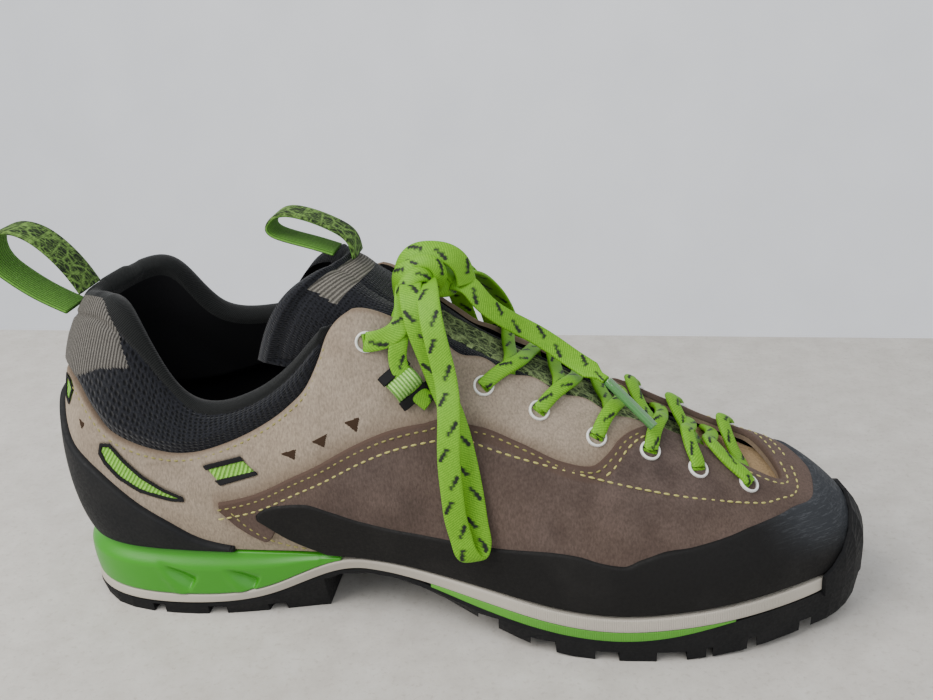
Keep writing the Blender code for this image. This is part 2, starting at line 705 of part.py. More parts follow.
def cut_grooves(outsole):
    """Grooves across the heel and the forefoot, and one down the middle of each."""
    reach = 1.4 * BALL_WIDTH
    for group, depth, grooves, (first, last) in (
        ("heel", HEEL_LUG, HEEL_GROOVES, HEEL_CENTRE), ("fore", FORE_LUG, FORE_GROOVES, FORE_CENTRE),
    ):
        for k, (share, width, turn) in enumerate(grooves):
            edge = LAST_BACK + share * LAST_LENGTH
            x = edge - GROOVE_EDGE * BALL_WIDTH * np.tan(radians(turn))
            size = (width * HEEL_STACK, reach, CUTTER_HEIGHT)
            top = float(tread_height(edge)) + depth
            cutter = box_cutter(f"{group}_groove_{k}", (x, 0, top - CUTTER_HEIGHT / 2), size, radians(turn))
            combine(outsole, cutter, "DIFFERENCE")
        x = LAST_BACK + (first + last) / 2 * LAST_LENGTH
        size = ((last - first) * LAST_LENGTH, CENTRE_GROOVE, CUTTER_HEIGHT)
        centre = (x, 0, CENTRE_DEPTH * depth - CUTTER_HEIGHT / 2)
        combine(outsole, box_cutter(f"{group}_centre_groove", centre, size, radians(CENTRE_TURN)), "DIFFERENCE")


def make_wedge(green):
    """Foam wedge: narrow beside the counter, full below, with slanted scoops in its sides."""
    wedge = slab("heel_wedge", columns(0, UNDER_BAND_END), [
        (WEDGE_FLARE, lambda x: feather_height(x) - GAP),
        (STRIP_TOP_FLARE, lambda x: (1 - WEDGE_BELLY) * (feather_height(x) - GAP) + WEDGE_BELLY * wedge_bottom(x)),
        (STRIP_TOP_FLARE, wedge_bottom),
    ], green)
    for side, label in ((-1, "inner"), (1, "outer")):
        for k, (s, x0, z0, x1, z1) in enumerate(SCOOPS):
            run = (x1 - x0) * LAST_LENGTH
            drop = (z0 - z1) * HEEL_STACK
            half = abs(float(FEATHER_RING(side_place(side, s))[1]))
            centre = (
                LAST_BACK + (x0 + x1) / 2 * LAST_LENGTH, side * (half + FLARE + SCOOP_DEPTH),
                (z0 + z1) / 2 * HEEL_STACK,
            )
            size = (np.hypot(run, drop), 4 * SCOOP_DEPTH, SCOOP_WIDTH)
            cutter = box_cutter(f"scoop_{label}_{k}", centre, size, -side * radians(SCOOP_YAW), np.arctan2(drop, run))
            combine(wedge, cutter, "DIFFERENCE")


def make_sole(rubber, green, beige):
    make_outsole(rubber)
    slab("forefoot_layer", columns(6.4, 9.7), [
        (RUBBER_FLARE, lambda x: strip_bottom(x) - GAP),
        (RUBBER_FLARE, lambda x: rubber_top(x) + GAP),
    ], green)
    slab("midsole", columns(0, STATIONS), [
        (STRIP_TOP_FLARE, strip_top),
        (STRIP_BOTTOM_FLARE, strip_bottom),
    ], beige)
    make_wedge(green)


def make_insole(mat):
    inset = level(-WALL - INSOLE_CLEARANCE)
    slab("insole", columns(0, STATIONS), [
        (inset, lambda x: feather_height(x) + INSOLE_THICKNESS),
        (inset, feather_height),
    ], mat)


def make_upper(suede):
    suede_top = line_through(SUEDE_TOP)
    us = np.concatenate([heel_places(EAR)[:-1], ring_places(EAR)[:-1]])
    band("upper", us, level(0), lambda s: np.where(s >= EAR, 1, suede_top(s)), 11, flat(-WALL), flat(0), suede, True)


def make_rand(rubber):
    outer = PLY_GAP + RAND_THICKNESS
    band("rand", ring_places(RAND_START), line_through(RAND_BOTTOM), line_through(RAND_TOP), 6, flat(PLY_GAP),
         flat(outer), rubber)


def make_vamp_overlay(brown):
    """Overlay of the vamp, its lower edge on the rand's upper edge."""
    rand_top, vamp_bottom = line_through(RAND_TOP), line_through(VAMP_BOTTOM)

    def lower(s):
        return np.where(s < RAND_START, vamp_bottom(s), rand_top(s) + VAMP_SEAM)

    band("vamp_overlay", ring_places(VAMP_START), lower, line_through(VAMP_TOP), 7, flat(PLY_GAP),
         flat(PLY_GAP + OVERLAY_THICKNESS), brown)


def make_heel_counter(rubber):
    band("heel_counter", heel_places(COUNTER_END), level(0), line_through(COUNTER_TOP), 7, flat(PLY_GAP),
         flat(PLY_GAP + COUNTER_THICKNESS), rubber)


def make_collar(mesh):
    """Padded ring of the opening. It swells inwards below the rim."""
    suede_top = line_through(SUEDE_TOP)

    def padding(share):
        return -(WALL + (COLLAR_PAD - WALL) * np.sin(pi * (0.15 + 0.7 * share)))

    band("collar", heel_places(COLLAR_END), lambda s: suede_top(s) + COLLAR_SEAM, level(1), 5, padding,
         swollen(0, COLLAR_SWELL), mesh)


def across(points, count):
    """Smooth row of points through a section's own points."""
    points = np.array(points)
    steps = np.linalg.norm(np.diff(points, axis=0), axis=1)
    t = np.concatenate([[0], np.cumsum(steps)])
    return Smooth(t, points)(np.linspace(0, t[-1], count))


def tongue_free_rows(count):
    rows = []
    for wx, wy, wz, sx, sy, sz, mx, mz in TONGUE_TOP:
        middle = place(mx, 0, mz)
        inner = [place(wx, -wy, wz), place(sx, -sy, sz)]
        outer = [place(sx, sy, sz), place(wx, wy, wz)]
        rows.append(across(inner + [middle] + outer, count))
    return rows


def tongue_row(s, count):
    """A section of the tongue's outside where the upper covers its sides."""
    low, lift = (line_through([(row[0], row[k]) for row in TONGUE_UNDER])(s) for k in (1, 2))
    under = -(WALL + TONGUE_CLEARANCE)
    u = s / STATIONS / 2
    sides = (low, 0.5 + low / 2, 0.98)
    inner = [skin_off(u, v, under) for v in sides]
    outer = [skin_off(1 - u, v, under) for v in reversed(sides)]
    middle = (inner[-1] + outer[0]) / 2 + np.array([0, 0, lift * COLLAR_HEIGHT])
    return across(inner + [middle] + outer, count)


def tongue_toe_rows(last, count):
    """The tongue's toe end, tucked under the toe end of the throat."""
    s = np.linspace(TONGUE_TUCK, 2 * STATIONS - TONGUE_TUCK, count)
    end = skin_off(s / STATIONS / 2, TONGUE_TUCK_V, -(WALL + TONGUE_CLEARANCE))
    return [(last + end) / 2 - np.array([0, 0, 0.3 * TONGUE_CLEARANCE]), end]


def make_tongue(fabric, webbing):
    count = TONGUE_COLUMNS
    stations = np.linspace(TONGUE_UNDER[0][0], TONGUE_UNDER[-1][0], 14)
    rows = tongue_free_rows(count) + [tongue_row(s, count) for s in stations]
    rows += tongue_toe_rows(rows[-1], count)
    outside = np.array(rows)
    n = np.cross(np.gradient(outside, axis=1), np.gradient(outside, axis=0))
    n /= np.linalg.norm(n, axis=-1, keepdims=True)
    if n[10, 8, 2] < 0:
        n = -n
    reach = np.arange(len(rows)) / TONGUE_PAD_ROWS
    pad = np.clip(1 - reach, 0, 1)[:, None, None] * (TONGUE_PAD - TONGUE_THICKNESS)
    inside = outside - n * (TONGUE_THICKNESS + pad)
    shell("tongue", outside, inside, fabric, False)
    ribbon("tongue_loop", [place(x, 0, z) for x, z in TONGUE_LOOP], TONGUE_WEBBING_WIDTH,
           WEBBING_THICKNESS, (0, 1, 0), 25, webbing)


def ribbon(name, points, width, thickness, across_direction, count, mat):
    """Flat band along a smooth route, its width along the given direction."""
    points = np.array(points, float)
    steps = np.linalg.norm(np.diff(points, axis=0), axis=1)
    t = np.concatenate([[0], np.cumsum(steps)])
    route = Smooth(t, points)
    at = np.linspace(0, t[-1], count)
    centre = route(at)
    ahead = route(np.clip(at + SMALL, 0, t[-1])) - route(np.clip(at - SMALL, 0, t[-1]))
    ahead /= np.linalg.norm(ahead, axis=1, keepdims=True)
    side = np.broadcast_to(np.array(across_direction, float), ahead.shape)
    side = side - ahead * (side * ahead).sum(1, keepdims=True)
    side /= np.linalg.norm(side, axis=1, keepdims=True)
    face = np.cross(ahead, side)
    corners = [(-1, -1), (1, -1), (1, 1), (-1, 1)]
    rings = [centre + side * (a * width / 2) + face * (b * thickness / 2) for a, b in corners]
    verts = np.stack(rings, 1).reshape(-1, 3)
    faces = []
    for i in range(count - 1):
        faces += strip_faces([4 * i + k for k in range(4)], [4 * i + 4 + k for k in range(4)], True)
    faces += [(3, 2, 1, 0), tuple(4 * count - 4 + k for k in range(4))]
    return solid(name, verts, faces, mat)


def side_place(side, s):
    u = s / STATIONS / 2
    return u if side < 0 else 1 - u


def eyelet_seat(side, s, v):
    """Point on the outer face where a ring sits, and the direction it faces."""
    u = side_place(side, s)
    lift = 0.0
    if v < line_through(VAMP_TOP)(s) and s > VAMP_START:
        lift = PLY_GAP + OVERLAY_THICKNESS
    n = skin_normal(np.array(u), np.array(v))
    return skin(u, v) + n * lift, n


def make_eyelets(enamel):
    for side, label in ((-1, "inner"), (1, "outer")):
        for k, (s, v) in enumerate(EYELETS):
            point, n = eyelet_seat(side, s, v)
            verts, faces = [], []
            profile = ((EYELET_HOLE, GAP), (EYELET_RADIUS, GAP), (EYELET_RADIUS, GAP + EYELET_HEIGHT / 2),
                       (EYELET_HOLE, GAP + EYELET_HEIGHT))
            turn = Vector(n).to_track_quat("Z", "Y").to_matrix()
            for i in range(EYELET_SIDES):
                a = 2 * pi * i / EYELET_SIDES
                for r, h in profile:
                    verts.append(Vector(point) + turn @ Vector((r * cos(a), r * sin(a), h)))
            m = len(profile)
            for i in range(EYELET_SIDES):
                j = (i + 1) % EYELET_SIDES
                faces += strip_faces([i * m + q for q in range(m)], [j * m + q for q in range(m)], True)
            solid(f"eyelet_{label}_{k + 1}", verts, faces, enamel)


def make_heel_loop(webbing):
    ribbon("heel_loop", [place(x, 0, z) for x, z in HEEL_LOOP], HEEL_WEBBING_WIDTH,
           WEBBING_THICKNESS, (0, 1, 0), 25, webbing)


def above_skin(side, s, v, lift):
    u = np.array(side_place(side, s))
    return skin(u, v) + skin_normal(u, np.array(v)) * lift


def make_keepers(webbing):
    """Short webbing bridges that hold the lace against the upper, one a side."""
    s, v = KEEPER_SPOT
    for side, label in ((-1, "inner"), (1, "outer")):
        centre = above_skin(side, s, v, 0.0)
        n = skin_normal(np.array(side_place(side, s)), np.array(v))
        down = above_skin(side, s, v - 0.05, 0.0) - above_skin(side, s, v + 0.05, 0.0)
        down /= np.linalg.norm(down)
        down = down * cos(radians(KEEPER_TURN)) - side * np.cross(down, n) * sin(radians(KEEPER_TURN))
        ahead = np.cross(down, n)
        low = GAP + WEBBING_THICKNESS / 2 + KEEPER_LIFT
        route = []
        for share, rise in ((-1, low), (-0.6, low), (-0.35, low + KEEPER_RISE), (0.35, low + KEEPER_RISE),
                            (0.6, low), (1, low)):
            route.append(centre + down * (share * KEEPER_LENGTH / 2) + n * rise)
        ribbon(f"lace_keeper_{label}", route, KEEPER_WIDTH, WEBBING_THICKNESS, ahead, 11, webbing)


def crossing_route(side, start, end):
    """From beside an eyelet, up over the opening's edge and across to beside the far edge."""
    s, v = EYELETS[start]
    ply = OVERLAY_THICKNESS + PLY_GAP if v < line_through(VAMP_TOP)(s) else 0
    lift = ply + GAP + LACE_THICKNESS / 2 + LACE_LIFT
    length = np.linalg.norm(above_skin(side, s, v, 0.0) - above_skin(side, s, 1.0, 0.0))
    beside = v + (EYELET_RADIUS + LACE_THICKNESS) / length * (1 - v)
    row = tongue_row(end, TONGUE_COLUMNS)
    row = row if side < 0 else row[::-1]
    up = np.array([0.35, 0, 1])
    up /= np.linalg.norm(up)
    over = GAP + LACE_THICKNESS
    return [
        above_skin(side, s, beside, lift), above_skin(side, s - 0.08, 0.985, lift + LACE_LIFT),
        tongue_row((s + end) / 2, TONGUE_COLUMNS)[TONGUE_COLUMNS // 2] + up * (over + LACE_ARCH),
        row[9] + up * (over + LACE_LIFT), row[10] + up * (over + 0.75 * LACE_LIFT),
    ]


def make_lace(cord):
    for k in range(1, len(EYELETS)):
        s = EYELETS[k][0]
        end = s + CROSSING_SLANT
        inner = ribbon(f"lace_crossing_{k}", crossing_route(-1, k, end), LACE_WIDTH,
                       LACE_THICKNESS, LACE_SLOPE, 9, cord)
        outer = ribbon(f"lace_crossing_{k}_mate", crossing_route(1, k, end), LACE_WIDTH,
                       LACE_THICKNESS * 0.9, LACE_SLOPE, 9, cord)
        combine(inner, outer, "UNION")


def lace_tube(name, points, radius, mat, steps):
    """Round cord along a smooth route, for the free runs of the lace."""
    points = np.array(points, float)
    reach = np.concatenate([[0], np.cumsum(np.linalg.norm(np.diff(points, axis=0), axis=1))])
    route = Smooth(reach, points)
    at = np.linspace(0, reach[-1], steps)
    centre = route(at)
    ahead = np.gradient(centre, axis=0)
    ahead /= np.linalg.norm(ahead, axis=1, keepdims=True)
    side = np.cross(ahead[0], (0.3, 1, 0.1))
    verts, faces = [], []
    for i in range(steps):
        side = side - ahead[i] * (side @ ahead[i])
        side /= np.linalg.norm(side)
        other = np.cross(ahead[i], side)
        for k in range(LACE_SIDES):
            a = 2 * pi * k / LACE_SIDES
            verts.append(centre[i] + radius * (cos(a) * side + sin(a) * other))
    for i in range(steps - 1):
        first = [LACE_SIDES * i + k for k in range(LACE_SIDES)]
        faces += strip_faces(first, [k + LACE_SIDES for k in first], True)
    faces += [tuple(range(LACE_SIDES)), tuple(range(LACE_SIDES * (steps - 1), LACE_SIDES * steps))]
    return solid(name, verts, faces, mat)


def from_knot(route, both):
    """A free run of the lace, its first point (and its last) moved to the knot's surface."""
    route = [np.array(p, float) for p in route]
    tilt = radians(KNOT_TILT)
    centre = np.array(KNOT_CENTRE)
    for k in (0, -1) if both else (0,):
        d = route[k] - centre
        d /= np.linalg.norm(d)
        local = np.array([d[0] * cos(tilt) - d[2] * sin(tilt), d[1], d[0] * sin(tilt) + d[2] * cos(tilt)])
        reach = 0.5 / np.linalg.norm(local / np.array(KNOT_SIZE))
        route[k] = centre + d * (reach + GAP)
    return route


def make_bow(cord, tip):
    """Knot, two loops and two ends, and the strands that come up to the knot from the top eyelets."""
    radius = LACE_TUBE / 2
    mesh = bpy.data.meshes.new("lace_knot")
    bm = bmesh.new()
    bmesh.ops.create_icosphere(bm, subdivisions=2, radius=0.5)
    bmesh.ops.scale(bm, vec=Vector(KNOT_SIZE), verts=bm.verts)
    bmesh.ops.rotate(bm, matrix=Matrix.Rotation(radians(KNOT_TILT), 3, "Y"), verts=bm.verts)
    bmesh.ops.translate(bm, vec=Vector(KNOT_CENTRE), verts=bm.verts)
    bm.to_mesh(mesh)
    bm.free()
    mesh.materials.append(cord)
    knot = bpy.data.objects.new("lace_knot", mesh)
    bpy.context.scene.collection.objects.link(knot)
    lace_tube("lace_loop_inner", from_knot(NEAR_LOOP_ROUTE, True), radius, cord, 30)
    lace_tube("lace_loop_outer", from_knot(FAR_LOOP_ROUTE, True), radius, cord, 24)
    lace_tube("lace_end_inner", from_knot(NEAR_END_ROUTE, False), radius, cord, 12)
    lace_tube("lace_tip_inner", AGLET_ROUTE, AGLET_WIDTH / 2, tip, 4)
    lace_tube("lace_end_outer", from_knot(FAR_END_ROUTE, False), radius, cord, 12)
    for side, label in ((-1, "inner"), (1, "outer")):
        s, v = EYELETS[0]
        x, y, z = KNOT_CENTRE
        lift = GAP + LACE_THICKNESS / 2 + LACE_LIFT
        first, second = TOP_STRAND_STATIONS
        start = above_skin(side, s + first, v, lift)
        over = above_skin(side, s + second, 0.985, lift + 1.25 * LACE_LIFT)
        end = np.array((x - 0.5 * KNOT_SIZE[0] - LACE_THICKNESS, y + side * KNOT_SIZE[1] / 3, z))
        across_lace = np.cross(end - start, skin_normal(np.array(side_place(side, s)), np.array(v)))
        ribbon(f"lace_top_{label}", [start, over, end], LACE_WIDTH, LACE_THICKNESS, across_lace, 7, cord)


def main():
    for obj in list(bpy.data.objects):
        bpy.data.objects.remove(obj)
    rubber = material("black_rubber", (0.018, 0.018, 0.020), 0.6)
    green = material("green_foam", (0.10, 0.42, 0.03), 0.45)
    beige = material("beige_foam", (0.50, 0.46, 0.40), 0.7)
    suede = material("beige_suede", (0.36, 0.27, 0.19), 0.9)
    brown = material("brown_suede", (0.12, 0.075, 0.055), 0.9)
    mesh = material("black_mesh", (0.012, 0.013, 0.016), 0.85)
    webbing = material("green_webbing", (0.16, 0.42, 0.04), 0.7)
    lace = material("green_lace", (0.22, 0.60, 0.02), 0.6)
    clear = material("clear_tip", (0.30, 0.55, 0.25), 0.2)
    enamel = material("white_enamel", (0.80, 0.80, 0.78), 0.3, 0.2)
    make_sole(rubber, green, beige)
    make_insole(mesh)
    make_upper(suede)
    make_vamp_overlay(brown)
    make_rand(rubber)
    make_heel_counter(rubber)
    make_collar(mesh)
    make_tongue(mesh, webbing)
    make_eyelets(enamel)
    make_heel_loop(webbing)
    make_keepers(webbing)
    make_lace(lace)
    make_bow(lace, clear)


main()
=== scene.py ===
"""Looks of the approach shoe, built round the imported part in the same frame.

Metres, +X to the toe, +Y to the outer side, +Z up, the origin on the heel's tread.
The shape functions and tables are those of the part's source, so every piece lies where the solids are.
"""

from math import cos, pi, radians, sin

import bmesh
import bpy
import numpy as np
from mathutils import Matrix, Vector


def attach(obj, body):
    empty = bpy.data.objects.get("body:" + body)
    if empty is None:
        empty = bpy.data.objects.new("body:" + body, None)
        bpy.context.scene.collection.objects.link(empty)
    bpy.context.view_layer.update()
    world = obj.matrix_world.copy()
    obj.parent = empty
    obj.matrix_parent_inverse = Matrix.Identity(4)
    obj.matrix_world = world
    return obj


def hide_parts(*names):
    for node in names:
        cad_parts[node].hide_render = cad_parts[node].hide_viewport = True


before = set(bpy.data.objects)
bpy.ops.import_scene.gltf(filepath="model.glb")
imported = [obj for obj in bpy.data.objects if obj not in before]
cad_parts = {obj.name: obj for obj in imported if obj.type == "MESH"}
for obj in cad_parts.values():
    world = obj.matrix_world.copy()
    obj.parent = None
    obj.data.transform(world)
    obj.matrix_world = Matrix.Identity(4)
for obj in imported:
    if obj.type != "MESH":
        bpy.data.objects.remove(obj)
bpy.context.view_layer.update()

MM = 0.001

# Sizes of the part
LAST_LENGTH = 286 * MM
LAST_BACK = -26.5 * MM
BALL_WIDTH = 98 * MM
HEEL_STACK = 27 * MM
COLLAR_HEIGHT = 117 * MM
FLARE = 3.5 * MM
GAP = 0.3 * MM
PLY_GAP = 0.45 * MM
WALL = 2.2 * MM
OVERLAY_THICKNESS = 1.1 * MM
RAND_THICKNESS = 2.0 * MM
COUNTER_THICKNESS = 1.8 * MM
COLLAR_PAD = 6.0 * MM
COLLAR_SWELL = 1.2 * MM
TONGUE_THICKNESS = 3.0 * MM
TONGUE_PAD = 6.0 * MM
TONGUE_PAD_ROWS = 5
TONGUE_CLEARANCE = 1.5 * MM
TONGUE_TUCK = 11.45
TONGUE_TUCK_V = 0.90
LACE_WIDTH = 7.6 * MM
LACE_THICKNESS = 1.7 * MM
HEEL_WEBBING_WIDTH = 17 * MM
TONGUE_WEBBING_WIDTH = 14 * MM
WEBBING_THICKNESS = 1.4 * MM
KEEPER_WIDTH = 10.5 * MM
KEEPER_LENGTH = 11.5 * MM
KEEPER_TURN = -30
KEEPER_RISE = 3.4 * MM
STATIONS = 12
EAR = 6.0
SMALL = 1e-4

# Camera, from the photograph
CAMERA_PLACE = (0.16966, -0.33453, 0.23385)
CAMERA_RIGHT = (0.99114, 0.12647, -0.04068)
CAMERA_UP = (-0.01121, 0.38471, 0.92297)
CAMERA_BACK = (0.13238, -0.91433, 0.38272)
CAMERA_LENS = 39.24

# Plan outline of the last at the sole, inner side negative.
# station, x / LAST_LENGTH, inner y / BALL_WIDTH, outer y / BALL_WIDTH
FEATHER = (
    (0.0, 0.0, 0.0, 0.0),
    (1.0, 0.019, -0.194, 0.199),
    (2.0, 0.075, -0.306, 0.311),
    (3.0, 0.163, -0.332, 0.342),
    (4.0, 0.264, -0.327, 0.367),
    (5.0, 0.362, -0.327, 0.408),
    (6.0, 0.46, -0.367, 0.454),
    (7.0, 0.558, -0.434, 0.495),
    (8.0, 0.656, -0.485, 0.51),
    (9.0, 0.753, -0.485, 0.48),
    (10.0, 0.851, -0.423, 0.393),
    (11.0, 0.942, -0.281, 0.235),
    (11.6, 0.983, -0.168, 0.107),
    (12.0, 1.0, -0.041, -0.041),
)

# Edge of the opening: the collar's rim back to the ears at station 6, then the throat.
# station, inner x, y, z, outer x, y, z, as shares of length, ball width and collar height
EDGE = (
    (0.0, 0.033, 0.0, 1.0, 0.033, 0.0, 1.0),
    (1.0, 0.089, -0.158, 1.021, 0.079, 0.173, 1.051),
    (2.0, 0.135, -0.204, 0.88, 0.128, 0.224, 1.017),
    (3.0, 0.18, -0.224, 0.722, 0.17, 0.26, 0.88),
    (4.0, 0.25, -0.235, 0.735, 0.243, 0.286, 0.863),
    (5.0, 0.323, -0.25, 0.863, 0.323, 0.291, 0.923),
    (6.0, 0.397, -0.276, 1.021, 0.397, 0.276, 1.017),
    (7.0, 0.481, -0.209, 0.929, 0.481, 0.219, 0.906),
    (8.0, 0.572, -0.173, 0.817, 0.572, 0.189, 0.795),
    (9.0, 0.663, -0.153, 0.714, 0.656, 0.173, 0.701),
    (10.0, 0.758, -0.148, 0.607, 0.74, 0.163, 0.598),
    (11.0, 0.862, -0.141, 0.478, 0.851, 0.148, 0.487),
    (11.6, 0.904, -0.102, 0.427, 0.879, 0.102, 0.47),
    (12.0, 0.895, 0.0, 0.453, 0.895, 0.0, 0.453),
)

# Swell of the side between sole and edge, all / COLLAR_HEIGHT.
# station, low out, low up, high out, high down
SWELL = (
    (0.0, 0.128, 0.239, 0.158, 0.214),
    (1.0, 0.103, 0.214, 0.128, 0.205),
    (2.0, 0.051, 0.188, 0.094, 0.188),
    (3.0, 0.043, 0.171, 0.111, 0.15),
    (4.0, 0.047, 0.188, 0.115, 0.162),
    (5.0, 0.051, 0.214, 0.12, 0.205),
    (6.0, 0.043, 0.239, 0.094, 0.256),
    (7.0, 0.026, 0.256, 0.145, 0.214),
    (8.0, 0.021, 0.239, 0.154, 0.128),
    (9.0, 0.021, 0.214, 0.162, 0.111),
    (10.0, 0.021, 0.188, 0.145, 0.077),
    (11.0, 0.017, 0.145, 0.111, 0.051),
    (11.6, 0.017, 0.145, 0.12, 0.03),
    (12.0, 0.017, 0.154, 0.12, 0.026),
)

# Layers under the last, down from the feather line, all but the first column / HEEL_STACK.
# x / LAST_LENGTH, feather line, wedge, strip, forefoot layer
SOLE = (
    (0.0, 1.0, 0.66, 0.13, 0.0),
    (0.08, 1.0, 0.67, 0.13, 0.0),
    (0.18, 0.99, 0.65, 0.13, 0.0),
    (0.26, 0.98, 0.5, 0.14, 0.0),
    (0.31, 0.98, 0.27, 0.165, 0.0),
    (0.37, 0.98, 0.03, 0.18, 0.0),
    (0.43, 0.97, 0.0, 0.18, 0.0),
    (0.5, 0.9, 0.0, 0.18, 0.06),
    (0.56, 0.82, 0.0, 0.18, 0.11),
    (0.61, 0.74, 0.0, 0.18, 0.12),
    (0.66, 0.68, 0.0, 0.18, 0.12),
    (0.71, 0.66, 0.0, 0.18, 0.12),
    (0.77, 0.7, 0.0, 0.18, 0.1),
    (0.84, 0.77, 0.0, 0.18, 0.02),
    (0.9, 0.82, 0.0, 0.18, 0.0),
    (0.95, 0.83, 0.0, 0.17, 0.0),
    (1.0, 0.82, 0.0, 0.15, 0.0),
    (1.05, 0.82, 0.0, 0.15, 0.0),
)

# How far each level of the sole stands out from the last, all / FLARE.
# station, wedge top, strip top, strip bottom
FLARES = (
    (0.0, 0.2, 1.0, 1.1),
    (2.0, 0.2, 1.0, 1.1),
    (3.0, 0.2, 1.0, 1.0),
    (4.0, 0.2, 0.8, 0.6),
    (5.0, 0.3, 0.5, 0.0),
    (6.0, 0.4, 0.6, 0.3),
    (7.0, 0.8, 0.8, 0.8),
    (8.0, 0.9, 0.9, 1.0),
    (10.0, 0.9, 0.9, 1.0),
    (11.0, 0.8, 0.8, 0.9),
    (11.3, 0.5, 0.5, 0.5),
    (12.0, 0.5, 0.5, 0.5),
)

# Panel lines on the skin, as v (0 at the sole, 1 at the opening's edge).
SUEDE_TOP = (
    (0.0, 0.66), (0.5, 0.65), (0.75, 0.63), (1.2, 0.57), (1.64, 0.535),
    (2.1, 0.555), (2.65, 0.615), (3.1, 0.68), (3.6, 0.745), (4.2, 0.795), (4.8, 0.825), (5.2, 0.845),
    (5.45, 0.9), (5.6, 0.96), (6.0, 1.0),
)
COUNTER_TOP = (
    (0.0, 0.56), (0.2, 0.54), (0.4, 0.49), (0.8, 0.41), (1.3, 0.375), (1.6, 0.355), (2.2, 0.29),
    (2.75, 0.205), (3.2, 0.09), (3.6, 0.04), (3.9, 0.025),
)
VAMP_TOP = (
    (3.47, 0.365), (4.0, 0.41), (4.6, 0.477), (5.3, 0.513), (6.0, 0.555), (6.8, 0.645), (7.1, 0.685),
    (7.55, 0.69), (8.0, 0.66), (8.45, 0.627), (8.8, 0.64), (9.1, 0.72), (9.4, 0.84), (9.7, 0.94),
    (9.9, 1.0), (12.0, 1.0),
)
VAMP_BOTTOM = (
    (3.47, 0.325), (3.55, 0.29), (3.73, 0.19), (4.07, 0.073), (4.45, 0.023), (4.8, 0.0), (12.0, 0.0),
)
RAND_TOP = (
    (3.98, 0.285), (4.1, 0.325), (4.3, 0.345), (4.7, 0.337), (5.05, 0.28), (5.4, 0.225), (6.0, 0.19),
    (6.6, 0.195), (7.1, 0.21), (7.9, 0.255), (8.2, 0.26), (8.45, 0.247), (8.7, 0.24), (8.95, 0.272),
    (9.2, 0.303), (9.6, 0.33), (10.1, 0.385), (10.8, 0.52), (11.3, 0.68), (11.7, 0.72), (12.0, 0.7),
)
RAND_BOTTOM = (
    (3.98, 0.25), (4.1, 0.205), (4.33, 0.117), (4.76, 0.017), (4.85, 0.0), (12.0, 0.0),
)
LOWER_SEAM = (
    (7.25, 0.638), (7.5, 0.615), (7.93, 0.595), (8.86, 0.587), (9.31, 0.578), (9.95, 0.562), (10.68, 0.59),
    (11.2, 0.735), (11.55, 0.84), (12.0, 0.86),
)

TURNED_SEAM = ((8.93, 0.605), (9.1, 0.655), (9.4, 0.775), (9.62, 0.855), (9.8, 0.905))

# Places on the skin: station and v.
EYELETS = (
    (6.22, 0.885), (7.72, 0.865), (8.38, 0.83), (9.05, 0.795), (9.66, 0.79), (10.15, 0.75), (10.73, 0.75),
)
KEEPER_SPOT = (6.68, 0.775)

# Webbing windows and cuts in the suede, as corners at station and v.
HEEL_WINDOW = ((0.4, 0.64), (0.6, 0.628), (0.74, 0.6), (0.66, 0.535), (0.5, 0.555))
TEARDROP = (
    (1.49, 0.47), (1.66, 0.492), (1.95, 0.462), (2.3, 0.432), (2.7, 0.405), (2.98, 0.385), (3.0, 0.362),
    (2.8, 0.352), (2.3, 0.35), (1.9, 0.372), (1.62, 0.405), (1.5, 0.432),
)
BAR_WINDOW = ((3.32, 0.61), (3.9, 0.655), (4.13, 0.537), (3.56, 0.49))
CUTS = (
    ((5.66, 0.625), (5.9, 0.628), (5.8, 0.578), (5.74, 0.598)),
    ((5.1, 0.612), (5.36, 0.612), (5.26, 0.565), (5.2, 0.585)),
    ((4.56, 0.618), (4.82, 0.612), (4.76, 0.565), (4.68, 0.588)),
    ((1.0, 0.512), (1.14, 0.505), (1.09, 0.48), (1.05, 0.49)),
)
HEEL_PATCH = (
    (0.33, 0.985), (0.58, 0.993), (0.9, 0.965), (1.3, 0.895), (1.68, 0.815), (1.25, 0.735), (0.8, 0.65),
    (0.4, 0.7), (0.2, 0.787), (0.24, 0.9),
)

# Free end of the tongue above the ears: bottom of its wing, shoulder of its wing, middle line.
TONGUE_TOP = (
    (0.262, 0.163, 0.815, 0.325, 0.19, 1.07, 0.372, 1.118),
    (0.308, 0.165, 0.79, 0.36, 0.192, 1.04, 0.397, 1.096),
    (0.36, 0.172, 0.79, 0.398, 0.2, 0.985, 0.418, 1.04),
)

# The tongue's sides under the upper.
# station, v of its side edge, rise of its middle / COLLAR_HEIGHT
TONGUE_UNDER = (
    (6.6, 0.83, 0.034), (7.2, 0.81, 0.026), (7.8, 0.81, 0.017), (8.4, 0.81, 0.009), (9.1, 0.81, 0.004),
    (9.8, 0.8, 0.0), (10.5, 0.82, -0.004), (11.1, 0.86, -0.013),
)

# Pull loops, side view: x / LAST_LENGTH and z / COLLAR_HEIGHT.
HEEL_LOOP = (
    (0.03, 1.002), (0.018, 1.055), (-0.004, 1.125), (-0.032, 1.18), (-0.062, 1.196), (-0.086, 1.165),
    (-0.088, 1.11), (-0.066, 1.045), (-0.034, 0.99), (0.006, 0.94),
)
TONGUE_LOOP = (
    (0.387, 1.112), (0.382, 1.16), (0.358, 1.205), (0.322, 1.238), (0.29, 1.232), (0.282, 1.2),
    (0.302, 1.168), (0.334, 1.146), (0.362, 1.124),
)

